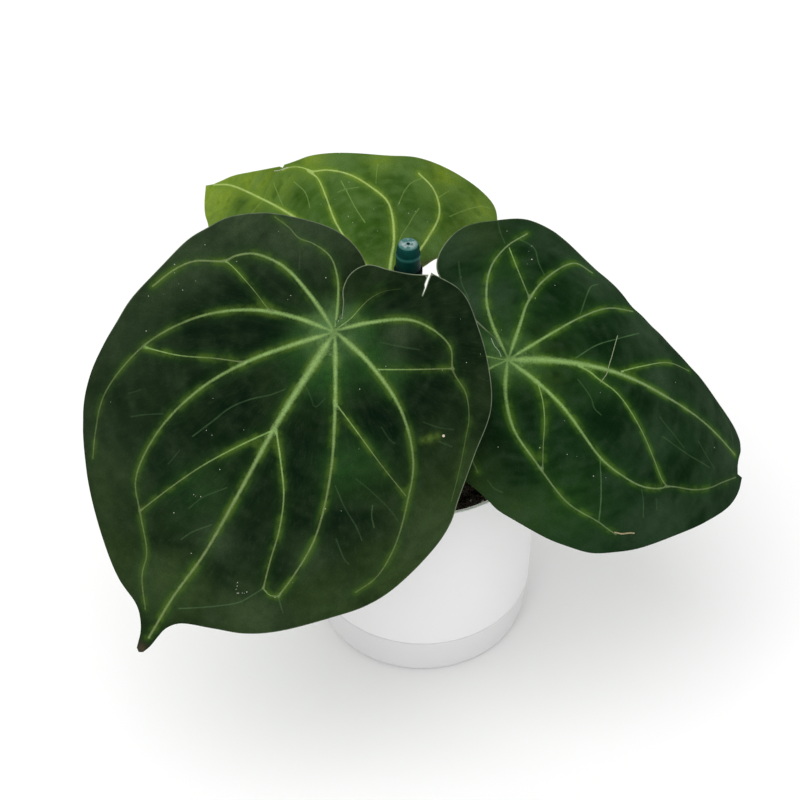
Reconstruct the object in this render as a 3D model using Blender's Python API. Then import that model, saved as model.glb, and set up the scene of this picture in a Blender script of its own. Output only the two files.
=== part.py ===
# Velvet anthurium in a white self-watering pot.
# Three heart-shaped blades on curved petioles rise from one crown, and a water gauge stands behind them.
# Lengths below are millimetres and become metres where meshes are made. +Z is up.
# The origin is the centre of the pot's underside, and -Y is the front.
import math

import bmesh
import bpy
import numpy as np
from mathutils import Matrix, Vector
from mathutils.geometry import delaunay_2d_cdt

MM = 0.001
GAP = 0.3               # between solids that touch
SHARP = math.radians(40)
HOLE_SIDES = 20

# Pot: an upper pot over a water reservoir
POT_HEIGHT = 160.0
RIM_RADIUS = 75.0
SEAM_RADIUS = 73.4
FOOT_RADIUS = 71.0      # outer radius just above the bottom fillet
FOOT_FILLET = 7.0
SEAM_HEIGHT = 32.5
SEAM_GROOVE = 0.7
WALL = 2.3
BORE_TAPER = 3.0        # how much thicker the upper pot's wall is at its floor
POT_SIDES = 48
PLATE_HEIGHT = 38.0     # underside of the upper pot's floor
PLATE = 2.6
SPIGOT_DEPTH = 9.0      # how far the upper pot reaches into the reservoir
WELL_RADIUS = 17.0      # the foot of soil that stands in the water
WELL_TAPER = 2.0        # how much narrower the well is at its bottom
WELL_BOTTOM = 7.0
WELL_SLOTS = 4
WELL_SLOT = (14.0, 6.0, 12.0)          # through the wall, along it, and height
WELL_SLOT_AT = 20.0
BASE_FLOOR = 3.0
BASE_HAUNCH = 9.0       # where the reservoir's inner wall starts, above a bevel round its floor
BASE_BEVEL = 5.0
EDGE = 0.8              # rounding of the moulded edges

# Growing mix
SOIL_TOP = 143.0
SOIL_RELIEF = 2.2
SOIL_RINGS = 9

# Water gauge: tube, collar, cap and the float inside
GAUGE_AT = (-10.0, 58.0)
GAUGE_TUBE_RADIUS = 6.5
GAUGE_TUBE_BORE = 5.3
GAUGE_BOTTOM = 5.0
GAUGE_COLLAR = (9.2, 243.0, 247.5)     # radius, low and high edge
GAUGE_CAP = (8.0, 7.6, 5.7, 268.0)     # radius at the foot, at the ring and on top, height of the top
GAUGE_RING_HEIGHT = 256.5
GAUGE_HOLE = 0.9
CAP_ROOF = 2.0          # thickness of the cap's top
FLOAT_RADIUS = 4.6
FLOAT_HEIGHT = 20.0
ROD_RADIUS = 0.9

# Crown and petioles
CROWN_RADIUS = 6.0
CROWN_TOP = 158.0
ROOTED = 24.0           # depth of the crown and petioles below the soil's surface
PETIOLE_BASE_RADIUS = 3.6
PETIOLE_RADIUS = 2.7
KNEE_RADIUS = 3.3       # the thicker joint just below a blade
PETIOLE_SIDES = 10

# Blades
BLADE = 0.8             # thickness between veins
BOSS = 2.2              # thickness where the petiole joins
BOSS_RADIUS = 6.0
RIB = 1.3               # height of a main vein under the blade, where it starts
QUILT = 1.0             # rise of the blade between veins
QUILT_REACH = 6.0
EDGE_STEP = 8.0         # spacing of the mesh's points along the edge, along the veins and between them
VEIN_STEP = 12.0
FIELD_STEP = 9.5
MAIN_VEIN = 3.0         # a vein at least this wide has a row of points on each side
EDGE_CLEAR = 4.0        # how far points between the veins stay from the edge and from the veins
VEIN_CLEAR = 5.0

# Each blade is drawn flat, in polar points (degrees, mm) about the petiole joint. 0 degrees points at the
# tip, and positive angles are on the side of cross(normal, midrib). A third entry marks a sharp corner.
# A vein is its width, then its points.
# The blade's height over the plane through its joint and tip: "arch" and "sag" along the midrib, "bend" at
# the margins (positive side, then negative, each at the joint and at the tip), "lift" of the back lobes (rise
# of each lobe per mm, and the angle where it starts), and "wave" of the margin (height, waves round it).
FRONT = {
    "joint": (-54, -60, 300), "tip": (-165, -187, 167), "normal": (0, -0.72, 0.69),
    "fold": 0.85,        # flat angle for each degree on the plant, where the back lobes overlap
    "sinus": 180,        # flat direction of the gap between the back lobes
    "outline": [
        (176, 9), (190, 17), (197, 25), (193, 35), (183, 43), (168, 48), (157, 56), (151.6, 64.2, 1),
        (148, 59.5, 1), (146.3, 58.8, 1), (142.6, 55.6, 1), (146, 59.2, 1), (148.8, 62.1, 1), (151.8, 66.1, 1),
        (138, 78), (123, 84), (109, 92), (95, 102), (80, 109),
        (68, 121.5), (63, 130), (57, 138), (44, 154), (37.7, 160.7), (31, 166), (20, 178), (14.6, 183),
        (9, 186), (3.4, 191.5), (1.7, 198), (1.2, 205), (0.9, 211.8), (0.4, 217, 1), (-0.2, 218.3, 1),
        (-0.8, 216.6, 1), (-1.1, 213), (-1.7, 207), (-3, 200.5), (-4.9, 195.4), (-9.9, 190.2), (-17, 180),
        (-29, 165), (-42, 152), (-49, 143.4), (-55.8, 133.4), (-61.6, 125.6), (-67.8, 119.2), (-80, 106.5),
        (-91.8, 99), (-98.8, 94), (-106, 90), (-119, 79), (-131, 69), (-147, 60), (-160, 53), (-174, 44),
        (-184, 33), (-186, 20), (-176, 9)],
    "veins": [
        (5.0, [(0, 0), (0, 60), (1, 110), (1, 150), (0, 180), (0, 208)]),
        (3.6, [(-40, 0), (-40, 26), (-39, 55), (-35, 86), (-29, 117), (-22, 143), (-16, 153), (-9, 168),
               (-7, 180), (-3, 195)]),
        (2.0, [(1, 65), (-8, 85), (-13, 108), (-15, 130), (-16, 153)]),
        (3.6, [(-79, 0), (-79, 24), (-74, 47), (-66, 75), (-57, 103), (-50, 122), (-43, 139), (-36, 150),
               (-31, 158)]),
        (1.6, [(-54, 109), (-50, 90), (-46, 70), (-40, 55)]),
        (3.4, [(-120, 0), (-118, 20), (-112, 45), (-103, 63), (-93, 72), (-88, 84), (-80, 99), (-73, 108)]),
        (2.4, [(-163, 0), (-162, 16), (-154, 32), (-141, 49), (-130, 60), (-122, 73)]),
        (3.6, [(34, 0), (34, 40), (31, 75), (27, 112), (22, 146), (19, 159)]),
        (2.0, [(1, 65), (10, 83), (16, 104), (17, 127), (16, 152), (11, 168), (5, 181), (0, 192)]),
        (1.8, [(33, 41), (44, 58), (51, 82), (55, 104)]),
        (3.6, [(80, 0), (80, 28), (72, 60), (63, 88), (55, 107), (47, 130), (41, 145), (36, 152)]),
        (1.8, [(82, 35), (96, 52), (104, 73)]),
        (3.4, [(134, 0), (134, 22), (128, 48), (114, 68), (104, 73), (97, 85), (87, 97), (77, 104)]),
        (2.4, [(162, 0), (162, 14), (163, 28), (157, 42), (152, 50)]),
    ],
    "length": 218, "width": 110, "arch": 0, "sag": 15, "bend": ((-10, -10), (-10, -10)),
    "lift": (0.12, -0.05, 150), "wave": (1.2, 11),
}
RIGHT = {
    "joint": (48, -28, 250), "tip": (200.5, -42, 160), "normal": (0.456, -0.342, 0.822),
    "fold": 0.9, "sinus": 135,
    "outline": [
        (116, 8), (122, 14), (128, 19), (132, 28), (134, 42), (134, 57), (131.5, 73), (126, 84),
        (118, 93), (107, 95), (97, 97), (87, 94.3), (81.7, 92.4), (76, 90.8), (64, 90), (54, 91),
        (45, 92.6), (40, 96.6), (35.4, 100.7), (31.4, 106.8), (27.4, 113), (20, 131), (14, 147),
        (9, 166), (6, 171.5), (2.6, 170.3), (1, 170, 1), (-0.5, 172, 1), (-0.4, 176.7, 1), (-3.3, 176.8),
        (-8, 173), (-17, 160), (-27, 148), (-38, 139.4), (-44, 134.5), (-50.2, 129.4), (-56, 122),
        (-62, 114.6), (-72.4, 102), (-77, 97), (-81, 91), (-90, 82), (-102, 76), (-117, 71), (-133, 68),
        (-150, 65), (-167, 61), (-184, 60), (-197, 60), (-208, 58), (-217, 54), (-224, 49), (-224.8, 42),
        (-225.8, 33), (-227, 26), (-229, 21), (-233.8, 15), (-238, 9)],
    "veins": [
        (4.6, [(11, 0), (12, 26), (11, 60), (9, 80), (7, 100), (5, 135), (3, 166)]),
        (3.4, [(118, 0), (117, 24), (115, 42), (109, 64), (102, 78), (95, 88)]),
        (1.8, [(101, 77), (94, 59), (85, 46)]),
        (3.2, [(82, 0), (82, 25), (84, 43), (80, 63), (72, 83), (64, 86)]),
        (3.2, [(48, 0), (48, 32), (49, 56), (47, 76), (42, 92)]),
        (1.8, [(12, 69), (17, 84), (21, 107), (20, 124)]),
        (2.2, [(8, 47), (-1, 68), (-10, 89), (-17, 111), (-20, 124)]),
        (3.6, [(-29, 0), (-30, 20), (-32, 42), (-33, 72), (-30, 98), (-25, 116), (-18, 131), (-10, 150),
               (-3, 168)]),
        (3.4, [(-79, 0), (-77, 24), (-71, 48), (-62, 69), (-56, 92), (-47, 112), (-41, 127), (-37, 131)]),
        (2.8, [(-125, 0), (-122, 14), (-108, 38), (-96, 60), (-86, 76)]),
        (2.4, [(-175, 0), (-172, 20), (-160, 38), (-148, 54)]),
    ],
    "length": 177, "width": 85, "arch": 24, "sag": 0, "bend": ((6, -34), (-14, -14)),
    "lift": (0.0, 0.0, 150), "wave": (1.0, 9),
}
BACK = {
    "joint": (-23, 69.6, 219.5), "tip": (-150, 191.5, 210), "normal": (-0.462, -0.42, 0.781),
    "fold": 1.0, "sinus": 180,
    "outline": [
        (118, 8), (124, 16), (136, 25), (152, 32), (166, 42), (169, 54), (161, 66), (149, 76), (134, 83),
        (118, 87), (100, 89), (82, 90), (64, 92), (46, 98), (30, 110), (18, 128), (9, 147), (6.6, 156),
        (4, 164), (0, 176, 1), (-1, 169.5), (-2.5, 163), (-5.4, 152.5), (-9.2, 138), (-14.2, 124),
        (-17.2, 118, 1), (-17.6, 113.4, 1), (-18.8, 115.5, 1), (-23.6, 109.8), (-28, 105.5), (-37, 97),
        (-49, 89.3), (-63, 85), (-76, 86), (-89, 87), (-103, 88), (-111, 86.8), (-117, 80.5), (-122, 72),
        (-125, 62), (-121, 50), (-115, 38), (-114.5, 28), (-115, 17), (-126, 8)],
    "veins": [
        (4.2, [(-10, 0), (-10, 40), (-7, 85), (-5, 115), (-3, 150), (-1, 168)]),
        (3.0, [(-20, 0), (-19, 24), (-22, 54), (-26, 74), (-27, 88), (-25, 97)]),
        (3.2, [(-66, 0), (-67, 18), (-68, 34), (-62, 55), (-52, 66), (-42, 78), (-31, 92), (-22, 103),
               (-15, 113)]),
        (3.0, [(-97, 0), (-97, 41), (-94, 60), (-86, 71), (-77, 77)]),
        (3.0, [(24, 0), (24, 50), (26, 80), (20, 108), (12, 132)]),
        (3.0, [(70, 0), (70, 30), (60, 60), (46, 80), (34, 96)]),
        (2.8, [(106, 0), (108, 30), (100, 56), (86, 72), (74, 80)]),
    ],
    "length": 176, "width": 90, "arch": 22, "sag": 0, "bend": ((8, 8), (8, 8)),
    "lift": (0.0, 0.0, 150), "wave": (1.0, 9),
}
BLADES = {"front": FRONT, "right": RIGHT, "back": BACK}

# Where each petiole stands in the soil, and the points it passes on its way up
PETIOLES = {
    "front": {"foot": (-9.0, -9.5), "via": [(-14, -13, 185), (-30, -22, 235), (-47, -38, 280)]},
    "right": {"foot": (10.5, -3.0), "via": [(17, -3, 180), (32, -9, 212), (45, -20, 236)]},
    "back": {"foot": (-6.5, 11.0), "via": [(-11, 20, 166), (-21, 44, 185), (-26, 68, 203)]},
}

COLOURS = {
    "white_pot": ((0.80, 0.80, 0.81), 0.45),
    "mix": ((0.025, 0.020, 0.016), 0.95),
    "gauge_black": ((0.02, 0.03, 0.03), 0.35),
    "gauge_teal": ((0.03, 0.16, 0.17), 0.3),
    "stem": ((0.14, 0.22, 0.06), 0.5),
    "velvet": ((0.03, 0.075, 0.03), 0.6),
    "young_velvet": ((0.16, 0.26, 0.05), 0.6),
}


def clear_scene():
    for obj in list(bpy.data.objects):
        bpy.data.objects.remove(obj, do_unlink=True)


def finish(name, mesh, colour):
    """Make an object of a mesh that is already in metres, with its own material."""
    obj = bpy.data.objects.new(name, mesh)
    bpy.context.scene.collection.objects.link(obj)
    rgb, roughness = COLOURS[colour]
    material = bpy.data.materials.new(name + "_" + colour)
    material.use_nodes = True
    shader = material.node_tree.nodes["Principled BSDF"]
    shader.inputs["Base Color"].default_value = (*rgb, 1)
    shader.inputs["Roughness"].default_value = roughness
    material.diffuse_color = (*rgb, 1)
    mesh.materials.append(material)
    mesh.shade_smooth()
    mesh.set_sharp_from_angle(angle=SHARP)
    return obj


def to_mesh(name, verts, faces):
    """A mesh from millimetre points, with its faces turned outwards."""
    mesh = bpy.data.meshes.new(name)
    mesh.from_pydata([Vector(v) * MM for v in verts], [], faces)
    bm = bmesh.new()
    bm.from_mesh(mesh)
    bmesh.ops.recalc_face_normals(bm, faces=bm.faces)
    bmesh.ops.triangulate(bm, faces=[f for f in bm.faces if len(f.verts) > 4])
    bm.to_mesh(mesh)
    bm.free()
    return mesh


def turned(name, profile, at=(0.0, 0.0), sides=POT_SIDES):
    """A closed solid turned about a vertical axis. A profile with no point on the axis makes a ring."""
    verts, faces, rows = [], [], []
    for radius, z in profile:
        if radius < 1e-6:
            rows.append([len(verts)] * sides)
            verts.append((at[0], at[1], z))
            continue
        rows.append(list(range(len(verts), len(verts) + sides)))
        for k in range(sides):
            angle = 2 * math.pi * k / sides
            verts.append((at[0] + radius * math.cos(angle), at[1] + radius * math.sin(angle), z))
    closed = min(r for r, _ in profile) > 1e-6
    for a, b in zip(rows, rows[1:] + rows[:1] if closed else rows[1:]):
        for k in range(sides):
            corners = [a[k], a[(k + 1) % sides], b[(k + 1) % sides], b[k]]
            face = [c for i, c in enumerate(corners) if c != corners[i - 1]]
            if len(face) > 2:
                faces.append(face)
    return to_mesh(name, verts, faces)


def arc(centre, radius, start, end, steps):
    """Profile points on an arc, angles in degrees."""
    points = []
    for k in range(steps + 1):
        angle = math.radians(start + (end - start) * k / steps)
        points.append((centre[0] + radius * math.cos(angle), centre[1] + radius * math.sin(angle)))
    return points


def cut(obj, cutters):
    """Take the cutters away from an object, and remove them."""
    for tool in cutters:
        modifier = obj.modifiers.new("cut", "BOOLEAN")
        modifier.operation = "DIFFERENCE"
        modifier.solver = "EXACT"
        modifier.object = tool
    bpy.context.view_layer.update()
    evaluated = obj.evaluated_get(bpy.context.evaluated_depsgraph_get())
    mesh = bpy.data.meshes.new_from_object(evaluated)
    obj.modifiers.clear()
    obj.data = mesh
    for tool in cutters:
        bpy.data.objects.remove(tool, do_unlink=True)
    mesh.shade_smooth()
    mesh.set_sharp_from_angle(angle=SHARP)


def cutter(name, mesh):
    obj = bpy.data.objects.new(name, mesh)
    bpy.context.scene.collection.objects.link(obj)
    obj.hide_render = True
    obj.display_type = "WIRE"
    return obj


def drill(name, at, radius, low, high):
    """A cutter for an upright round hole."""
    return cutter(name, turned(name, [(0, low), (radius, low), (radius, high), (0, high)], at, HOLE_SIDES))


def outer_radius(z):
    """The pot's outer radius above the seam."""
    return SEAM_RADIUS + (RIM_RADIUS - SEAM_RADIUS) * (z - SEAM_HEIGHT) / (POT_HEIGHT - SEAM_HEIGHT)


def bore_radius(z):
    """The upper pot's inner radius, which narrows a little more than the outside."""
    low = PLATE_HEIGHT + PLATE
    narrow = outer_radius(low) - WALL - BORE_TAPER
    return narrow + (RIM_RADIUS - WALL - narrow) * (z - low) / (POT_HEIGHT - low)


def reservoir_bore(z):
    """The reservoir's inner radius above the bevel round its floor."""
    rise = (z - BASE_HAUNCH) / (SEAM_HEIGHT - BASE_HAUNCH)
    return FOOT_RADIUS - WALL + (SEAM_RADIUS - FOOT_RADIUS) * rise


def make_reservoir():
    fillet = arc((FOOT_RADIUS - FOOT_FILLET, FOOT_FILLET), FOOT_FILLET, -90, 0, 6)
    haunch = reservoir_bore(BASE_HAUNCH)
    profile = [(0, 0), *fillet, (SEAM_RADIUS, SEAM_HEIGHT - EDGE),
               (SEAM_RADIUS - SEAM_GROOVE, SEAM_HEIGHT), (reservoir_bore(SEAM_HEIGHT), SEAM_HEIGHT),
               (haunch, BASE_HAUNCH), (haunch - BASE_BEVEL, BASE_FLOOR), (0, BASE_FLOOR)]
    finish("reservoir_base", turned("reservoir_base", profile), "white_pot")


def make_pot():
    low = SEAM_HEIGHT + GAP
    spigot_bottom = SEAM_HEIGHT - SPIGOT_DEPTH
    spigot = reservoir_bore(SEAM_HEIGHT) - GAP
    spigot_end = reservoir_bore(spigot_bottom) - GAP
    top_plate = PLATE_HEIGHT + PLATE
    well = WELL_RADIUS + WALL
    profile = [
        (spigot_end - WALL, spigot_bottom), (spigot_end, spigot_bottom), (spigot, SEAM_HEIGHT), (spigot, low),
        (SEAM_RADIUS - SEAM_GROOVE, low), (SEAM_RADIUS, low + EDGE),
        (RIM_RADIUS, POT_HEIGHT - EDGE), (RIM_RADIUS - 0.8 * EDGE, POT_HEIGHT),
        (RIM_RADIUS - WALL + 0.8 * EDGE, POT_HEIGHT),
        (bore_radius(POT_HEIGHT - EDGE), POT_HEIGHT - EDGE), (bore_radius(top_plate), top_plate),
        (WELL_RADIUS, top_plate), (WELL_RADIUS - WELL_TAPER, WELL_BOTTOM + PLATE), (0, WELL_BOTTOM + PLATE),
        (0, WELL_BOTTOM), (well - WELL_TAPER, WELL_BOTTOM), (well, PLATE_HEIGHT),
        (spigot_end - WALL, PLATE_HEIGHT)]
    start = profile.index((0, WELL_BOTTOM))
    pot = finish("planter_pot", turned("planter_pot", profile[start:] + profile[:start]), "white_pot")
    cutters = [drill("gauge_bore", GAUGE_AT, GAUGE_TUBE_RADIUS + GAP, PLATE_HEIGHT - PLATE,
                     top_plate + PLATE)]
    for k in range(WELL_SLOTS):
        angle = math.pi * (0.25 + 2 * k / WELL_SLOTS)
        place = (Matrix.Rotation(angle, 4, "Z")
                 @ Matrix.Translation(Vector((WELL_RADIUS, 0, WELL_SLOT_AT)) * MM)
                 @ Matrix.Diagonal((*(size * MM for size in WELL_SLOT), 1)))
        box = bmesh.new()
        bmesh.ops.create_cube(box, size=1, matrix=place)
        mesh = bpy.data.meshes.new("slot")
        box.to_mesh(mesh)
        box.free()
        cutters.append(cutter("slot", mesh))
    cut(pot, cutters)


def soil_height(x, y):
    """The loose surface of the mix, in lumps of bark a centimetre or two across."""
    lump = (math.sin(x * 0.41 + 1.3) * math.cos(y * 0.37 - 0.4) + 0.6 * math.sin(x * 0.23 - y * 0.51)
            + 0.5 * math.cos(x * 0.83 + y * 0.71 + 2.0))
    edge = math.hypot(x, y) / RIM_RADIUS
    relief = SOIL_RELIEF * (0.3 + 0.7 * smooth_step((edge - 0.15) / 0.3)) * (1 - edge ** 6)
    return SOIL_TOP + relief * lump - 3.0 * edge ** 4


def make_soil():
    """The mix fills the upper pot and the well, with plain holes for what stands in it."""
    bottom = PLATE_HEIGHT + PLATE + GAP
    sides = POT_SIDES
    verts, faces = [], []
    for ring in range(1, SOIL_RINGS + 1):
        for k in range(sides):
            radius = (bore_radius(SOIL_TOP - 4) - GAP) * ring / SOIL_RINGS
            angle = 2 * math.pi * (k + 0.5 * ((ring + SOIL_RINGS) % 2)) / sides
            x, y = radius * math.cos(angle), radius * math.sin(angle)
            verts.append((x, y, soil_height(x, y)))
    for radius, z in [(bore_radius(bottom) - GAP, bottom), (WELL_RADIUS - GAP, bottom),
                      (WELL_RADIUS - WELL_TAPER - GAP, WELL_BOTTOM + PLATE + GAP)]:
        for k in range(sides):
            angle = 2 * math.pi * k / sides
            verts.append((radius * math.cos(angle), radius * math.sin(angle), z))
    rows = SOIL_RINGS + 3
    for row in range(rows - 1):
        odd = (row + 1 + SOIL_RINGS) % 2 if row + 1 < SOIL_RINGS else None
        for k in range(sides):
            a, b = row * sides + k, row * sides + (k + 1) % sides
            c, d = a + sides, b + sides
            if odd is None:
                faces += [(a, b, d, c)]
            elif odd:
                faces += [(a, b, d), (a, d, c)]
            else:
                faces += [(a, b, c), (b, d, c)]
    centre = len(verts)
    verts += [(0, 0, soil_height(0, 0)), (0, 0, WELL_BOTTOM + PLATE + GAP)]
    last = (rows - 1) * sides
    for k in range(sides):
        faces.append((centre, (k + 1) % sides, k))
        faces.append((centre + 1, last + k, last + (k + 1) % sides))
    soil = finish("potting_mix", to_mesh("potting_mix", verts, faces), "mix")
    deep = SOIL_TOP - ROOTED - GAP
    clear = SOIL_TOP + 3 * SOIL_RELIEF
    cutters = [drill("tube_hole", GAUGE_AT, GAUGE_TUBE_RADIUS + GAP, bottom - PLATE, clear),
               drill("crown_hole", (0, 0), CROWN_RADIUS + GAP, deep, clear)]
    for name, petiole in PETIOLES.items():
        cutters.append(drill(name + "_hole", petiole["foot"], PETIOLE_BASE_RADIUS + GAP, deep, clear))
    cut(soil, cutters)


def make_gauge():
    """A tube from the reservoir to above the leaves, its collar and cap, and the float and rod inside."""
    radius, low, high = GAUGE_COLLAR
    foot, ring, top, height = GAUGE_CAP
    tube = [(GAUGE_TUBE_BORE, GAUGE_BOTTOM), (GAUGE_TUBE_RADIUS, GAUGE_BOTTOM), (GAUGE_TUBE_RADIUS, low - 3),
            (radius - 0.6, low), (radius, low + 0.8), (radius - 0.3, high), (GAUGE_TUBE_BORE, high)]
    finish("gauge_tube", turned("gauge_tube", tube, GAUGE_AT, 32), "gauge_black")
    base = high + GAP
    cap = [(GAUGE_TUBE_BORE, base), (foot, base), (ring + 0.1, GAUGE_RING_HEIGHT - 0.5),
           (ring + 0.4, GAUGE_RING_HEIGHT), (ring, GAUGE_RING_HEIGHT + 0.5), (top + 0.7, height - 0.9),
           (top, height), (GAUGE_HOLE, height), (GAUGE_HOLE, height - CAP_ROOF),
           (GAUGE_TUBE_BORE, height - CAP_ROOF - 1)]
    finish("gauge_cap", turned("gauge_cap", cap, GAUGE_AT, 32), "gauge_teal")
    bottom = BASE_FLOOR + GAP
    shoulder = bottom + FLOAT_HEIGHT
    rod_top = height - CAP_ROOF - 1.5
    rod = [(0, bottom), (FLOAT_RADIUS - EDGE, bottom), (FLOAT_RADIUS, bottom + EDGE),
           (FLOAT_RADIUS, shoulder), (FLOAT_RADIUS - 2 * EDGE, shoulder + 2 * EDGE),
           (ROD_RADIUS, shoulder + 3 * EDGE), (ROD_RADIUS, rod_top - ROD_RADIUS), (0, rod_top)]
    finish("gauge_float", turned("gauge_float", rod, GAUGE_AT, 16), "gauge_black")


def smooth_path(points, step):
    """Points every few millimetres on one smooth curve through the given points."""
    points = [np.array(p, float) for p in points]
    if len(points) == 2:
        count = max(1, round(np.linalg.norm(points[1] - points[0]) / step))
        return [points[0] + (points[1] - points[0]) * k / count for k in range(count + 1)]
    ends = [2 * points[0] - points[1], *points, 2 * points[-1] - points[-2]]
    fine = []
    for k in range(1, len(ends) - 2):
        p0, p1, p2, p3 = ends[k - 1:k + 3]
        gaps = [max(np.linalg.norm(b - a), 1e-6) ** 0.5 for a, b in ((p0, p1), (p1, p2), (p2, p3))]
        t0, t1 = 0.0, gaps[0]
        t2, t3 = t1 + gaps[1], t1 + gaps[1] + gaps[2]
        for j in range(24):
            t = t1 + (t2 - t1) * j / 24
            a1 = ((t1 - t) * p0 + (t - t0) * p1) / (t1 - t0)
            a2 = ((t2 - t) * p1 + (t - t1) * p2) / (t2 - t1)
            a3 = ((t3 - t) * p2 + (t - t2) * p3) / (t3 - t2)
            b1 = ((t2 - t) * a1 + (t - t0) * a2) / (t2 - t0)
            b2 = ((t3 - t) * a2 + (t - t1) * a3) / (t3 - t1)
            fine.append(((t2 - t) * b1 + (t - t1) * b2) / (t2 - t1))
    fine.append(points[-1])
    fine = np.array(fine)
    along = np.concatenate([[0], np.cumsum(np.linalg.norm(np.diff(fine, axis=0), axis=1))])
    count = max(2, round(along[-1] / step))
    at = np.linspace(0, along[-1], count + 1)
    return list(np.stack([np.interp(at, along, fine[:, k]) for k in range(fine.shape[1])], axis=1))


def flat(leaf, degrees, radius):
    """A polar point of a blade on its flat pattern, where the back lobes lie apart."""
    angle = math.radians(degrees * leaf["fold"])
    return (radius * math.cos(angle), radius * math.sin(angle))


def smooth_step(x):
    x = min(max(x, 0.0), 1.0)
    return x * x * (3 - 2 * x)


def pattern_outline(leaf):
    """The blade's edge on its flat pattern, smooth between sharp corners."""
    spans, span = [], []
    for point in leaf["outline"]:
        span.append(flat(leaf, *point[:2]))
        if len(point) == 3 and len(span) > 1:
            spans.append(span)
            span = [span[-1]]
    spans.append(span)
    edge = []
    for span in spans:
        edge += smooth_path(span, EDGE_STEP)[:-1] if len(span) > 1 else []
    return edge + [np.array(spans[-1][-1])]


def edge_radius(leaf, outline):
    """How far the edge is from the petiole joint, as a table over the flat angle."""
    angles = np.array([math.atan2(p[1], p[0]) for p in outline])
    order = np.argsort(angles)
    radii = np.array([math.hypot(*p) for p in outline])
    return angles[order], radii[order]


def blade_height(leaf, u, v, degrees, rim):
    """Height of the blade's upper face over its plane, before it swells between the veins."""
    t = min(max(u / leaf["length"], -0.3), 1.05)
    low_end, high_end = leaf["bend"][0 if v > 0 else 1]
    bend = low_end + (high_end - low_end) * min(max(t, -0.2), 1.0)
    height = leaf["arch"] * 4 * t * (1 - t) - leaf["sag"] * (u / leaf["length"]) ** 2
    height += bend * (v / leaf["width"]) ** 2
    radius = math.hypot(u, v)
    over, under, start = leaf["lift"]
    height += radius * (over if degrees > 0 else under) * smooth_step((abs(degrees) - start) / 35)
    size, count = leaf["wave"]
    height += size * (radius / rim) ** 5 * math.sin(count * math.radians(degrees) + 0.7)
    return height


def nearest(segments, point):
    """Distance from a flat point to the closest segment, which segment it is, and how far along."""
    p = np.array(point)
    a, b = segments[:, 0], segments[:, 1]
    along = b - a
    t = np.clip(((p - a) * along).sum(1) / np.maximum((along ** 2).sum(1), 1e-9), 0, 1)
    gaps = np.linalg.norm(a + along * t[:, None] - p, axis=1)
    index = int(gaps.argmin())
    return gaps[index], index, t[index]


def inside(outline, point):
    x, y = point
    found = False
    for a, b in zip(outline, outline[1:] + outline[:1]):
        if (a[1] > y) != (b[1] > y) and x < (b[0] - a[0]) * (y - a[1]) / (b[1] - a[1]) + a[0]:
            found = not found
    return found


def make_blade(name, leaf, colour):
    """A thin closed blade: quilted above, with its veins standing out below."""
    outline = pattern_outline(leaf)
    rim_angles, rim_radii = edge_radius(leaf, outline)
    points = [tuple(p) for p in outline]
    edges = [(k, (k + 1) % len(points)) for k in range(len(points))]
    centre_lines, widths = [], []
    for width, polar in leaf["veins"]:
        path = smooth_path([flat(leaf, *p) for p in polar], VEIN_STEP)
        first = len(points)
        points += [tuple(p) for p in path]
        edges += [(first + k, first + k + 1) for k in range(len(path) - 1)]
        for k in range(len(path) - 1):
            centre_lines.append((path[k], path[k + 1]))
            widths.append((width * (1 - 0.6 * k / len(path)), width * (1 - 0.6 * (k + 1) / len(path))))
    segments = np.array(centre_lines)
    widths = np.array(widths)
    border = np.array([(outline[k], outline[(k + 1) % len(outline)]) for k in range(len(outline))])
    for width, polar in leaf["veins"]:
        if width < MAIN_VEIN:
            continue
        path = np.array(smooth_path([flat(leaf, *p) for p in polar], VEIN_STEP))
        tangent = np.gradient(path, axis=0)
        tangent /= np.linalg.norm(tangent, axis=1)[:, None]
        side = np.stack([-tangent[:, 1], tangent[:, 0]], axis=1)
        for sign in (-1, 1):
            for k in range(1, len(path) - 1):
                point = path[k] + sign * side[k] * width * 0.75
                apart = nearest(segments, point)[0] >= 0.55 * width and nearest(border, point)[0] >= 2.5
                if apart and inside(outline, point):
                    points.append(tuple(point))
    reach = max(rim_radii) + FIELD_STEP
    count = int(reach / FIELD_STEP)
    for row in range(-count, count + 1):
        for column in range(-count, count + 1):
            point = ((column + 0.5 * (row % 2)) * FIELD_STEP, row * FIELD_STEP * 0.866)
            apart = nearest(border, point)[0] >= EDGE_CLEAR and nearest(segments, point)[0] >= VEIN_CLEAR
            if apart and inside(outline, point):
                points.append(point)
    flat_points, _, triangles, _, _, _ = delaunay_2d_cdt(
        [Vector(p) for p in points], edges, [list(range(len(outline)))], 1, 1e-4)
    frame = blade_frame(leaf)
    tangent_plane = joint_slope(leaf)
    upper, lower = [], []
    for point in flat_points:
        top, bottom = blade_point(leaf, point, segments, widths, (rim_angles, rim_radii), tangent_plane)
        upper.append(frame @ Vector(top))
        lower.append(frame @ Vector(bottom))
    total = len(upper)
    faces = [tuple(t) for t in triangles] + [tuple(total + k for k in reversed(t)) for t in triangles]
    sides = {}
    for t in triangles:
        for a, b in zip(t, t[1:] + t[:1]):
            sides[(a, b)] = True
    for a, b in sides:
        if (b, a) not in sides:
            faces.append((b, a, total + a))
            faces.append((b, total + a, total + b))
    mesh = bpy.data.meshes.new(name)
    mesh.from_pydata([p * MM for p in upper + lower], [], faces)
    finish(name, mesh, colour)


def blade_frame(leaf):
    """Flat (u, v, height) to millimetres on the plant."""
    joint, tip = Vector(leaf["joint"]), Vector(leaf["tip"])
    along = (tip - joint).normalized()
    normal = Vector(leaf["normal"])
    normal = (normal - along * normal.dot(along)).normalized()
    across = normal.cross(along)
    frame = Matrix((along, across, normal)).transposed().to_4x4()
    frame.translation = joint
    return frame


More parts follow.
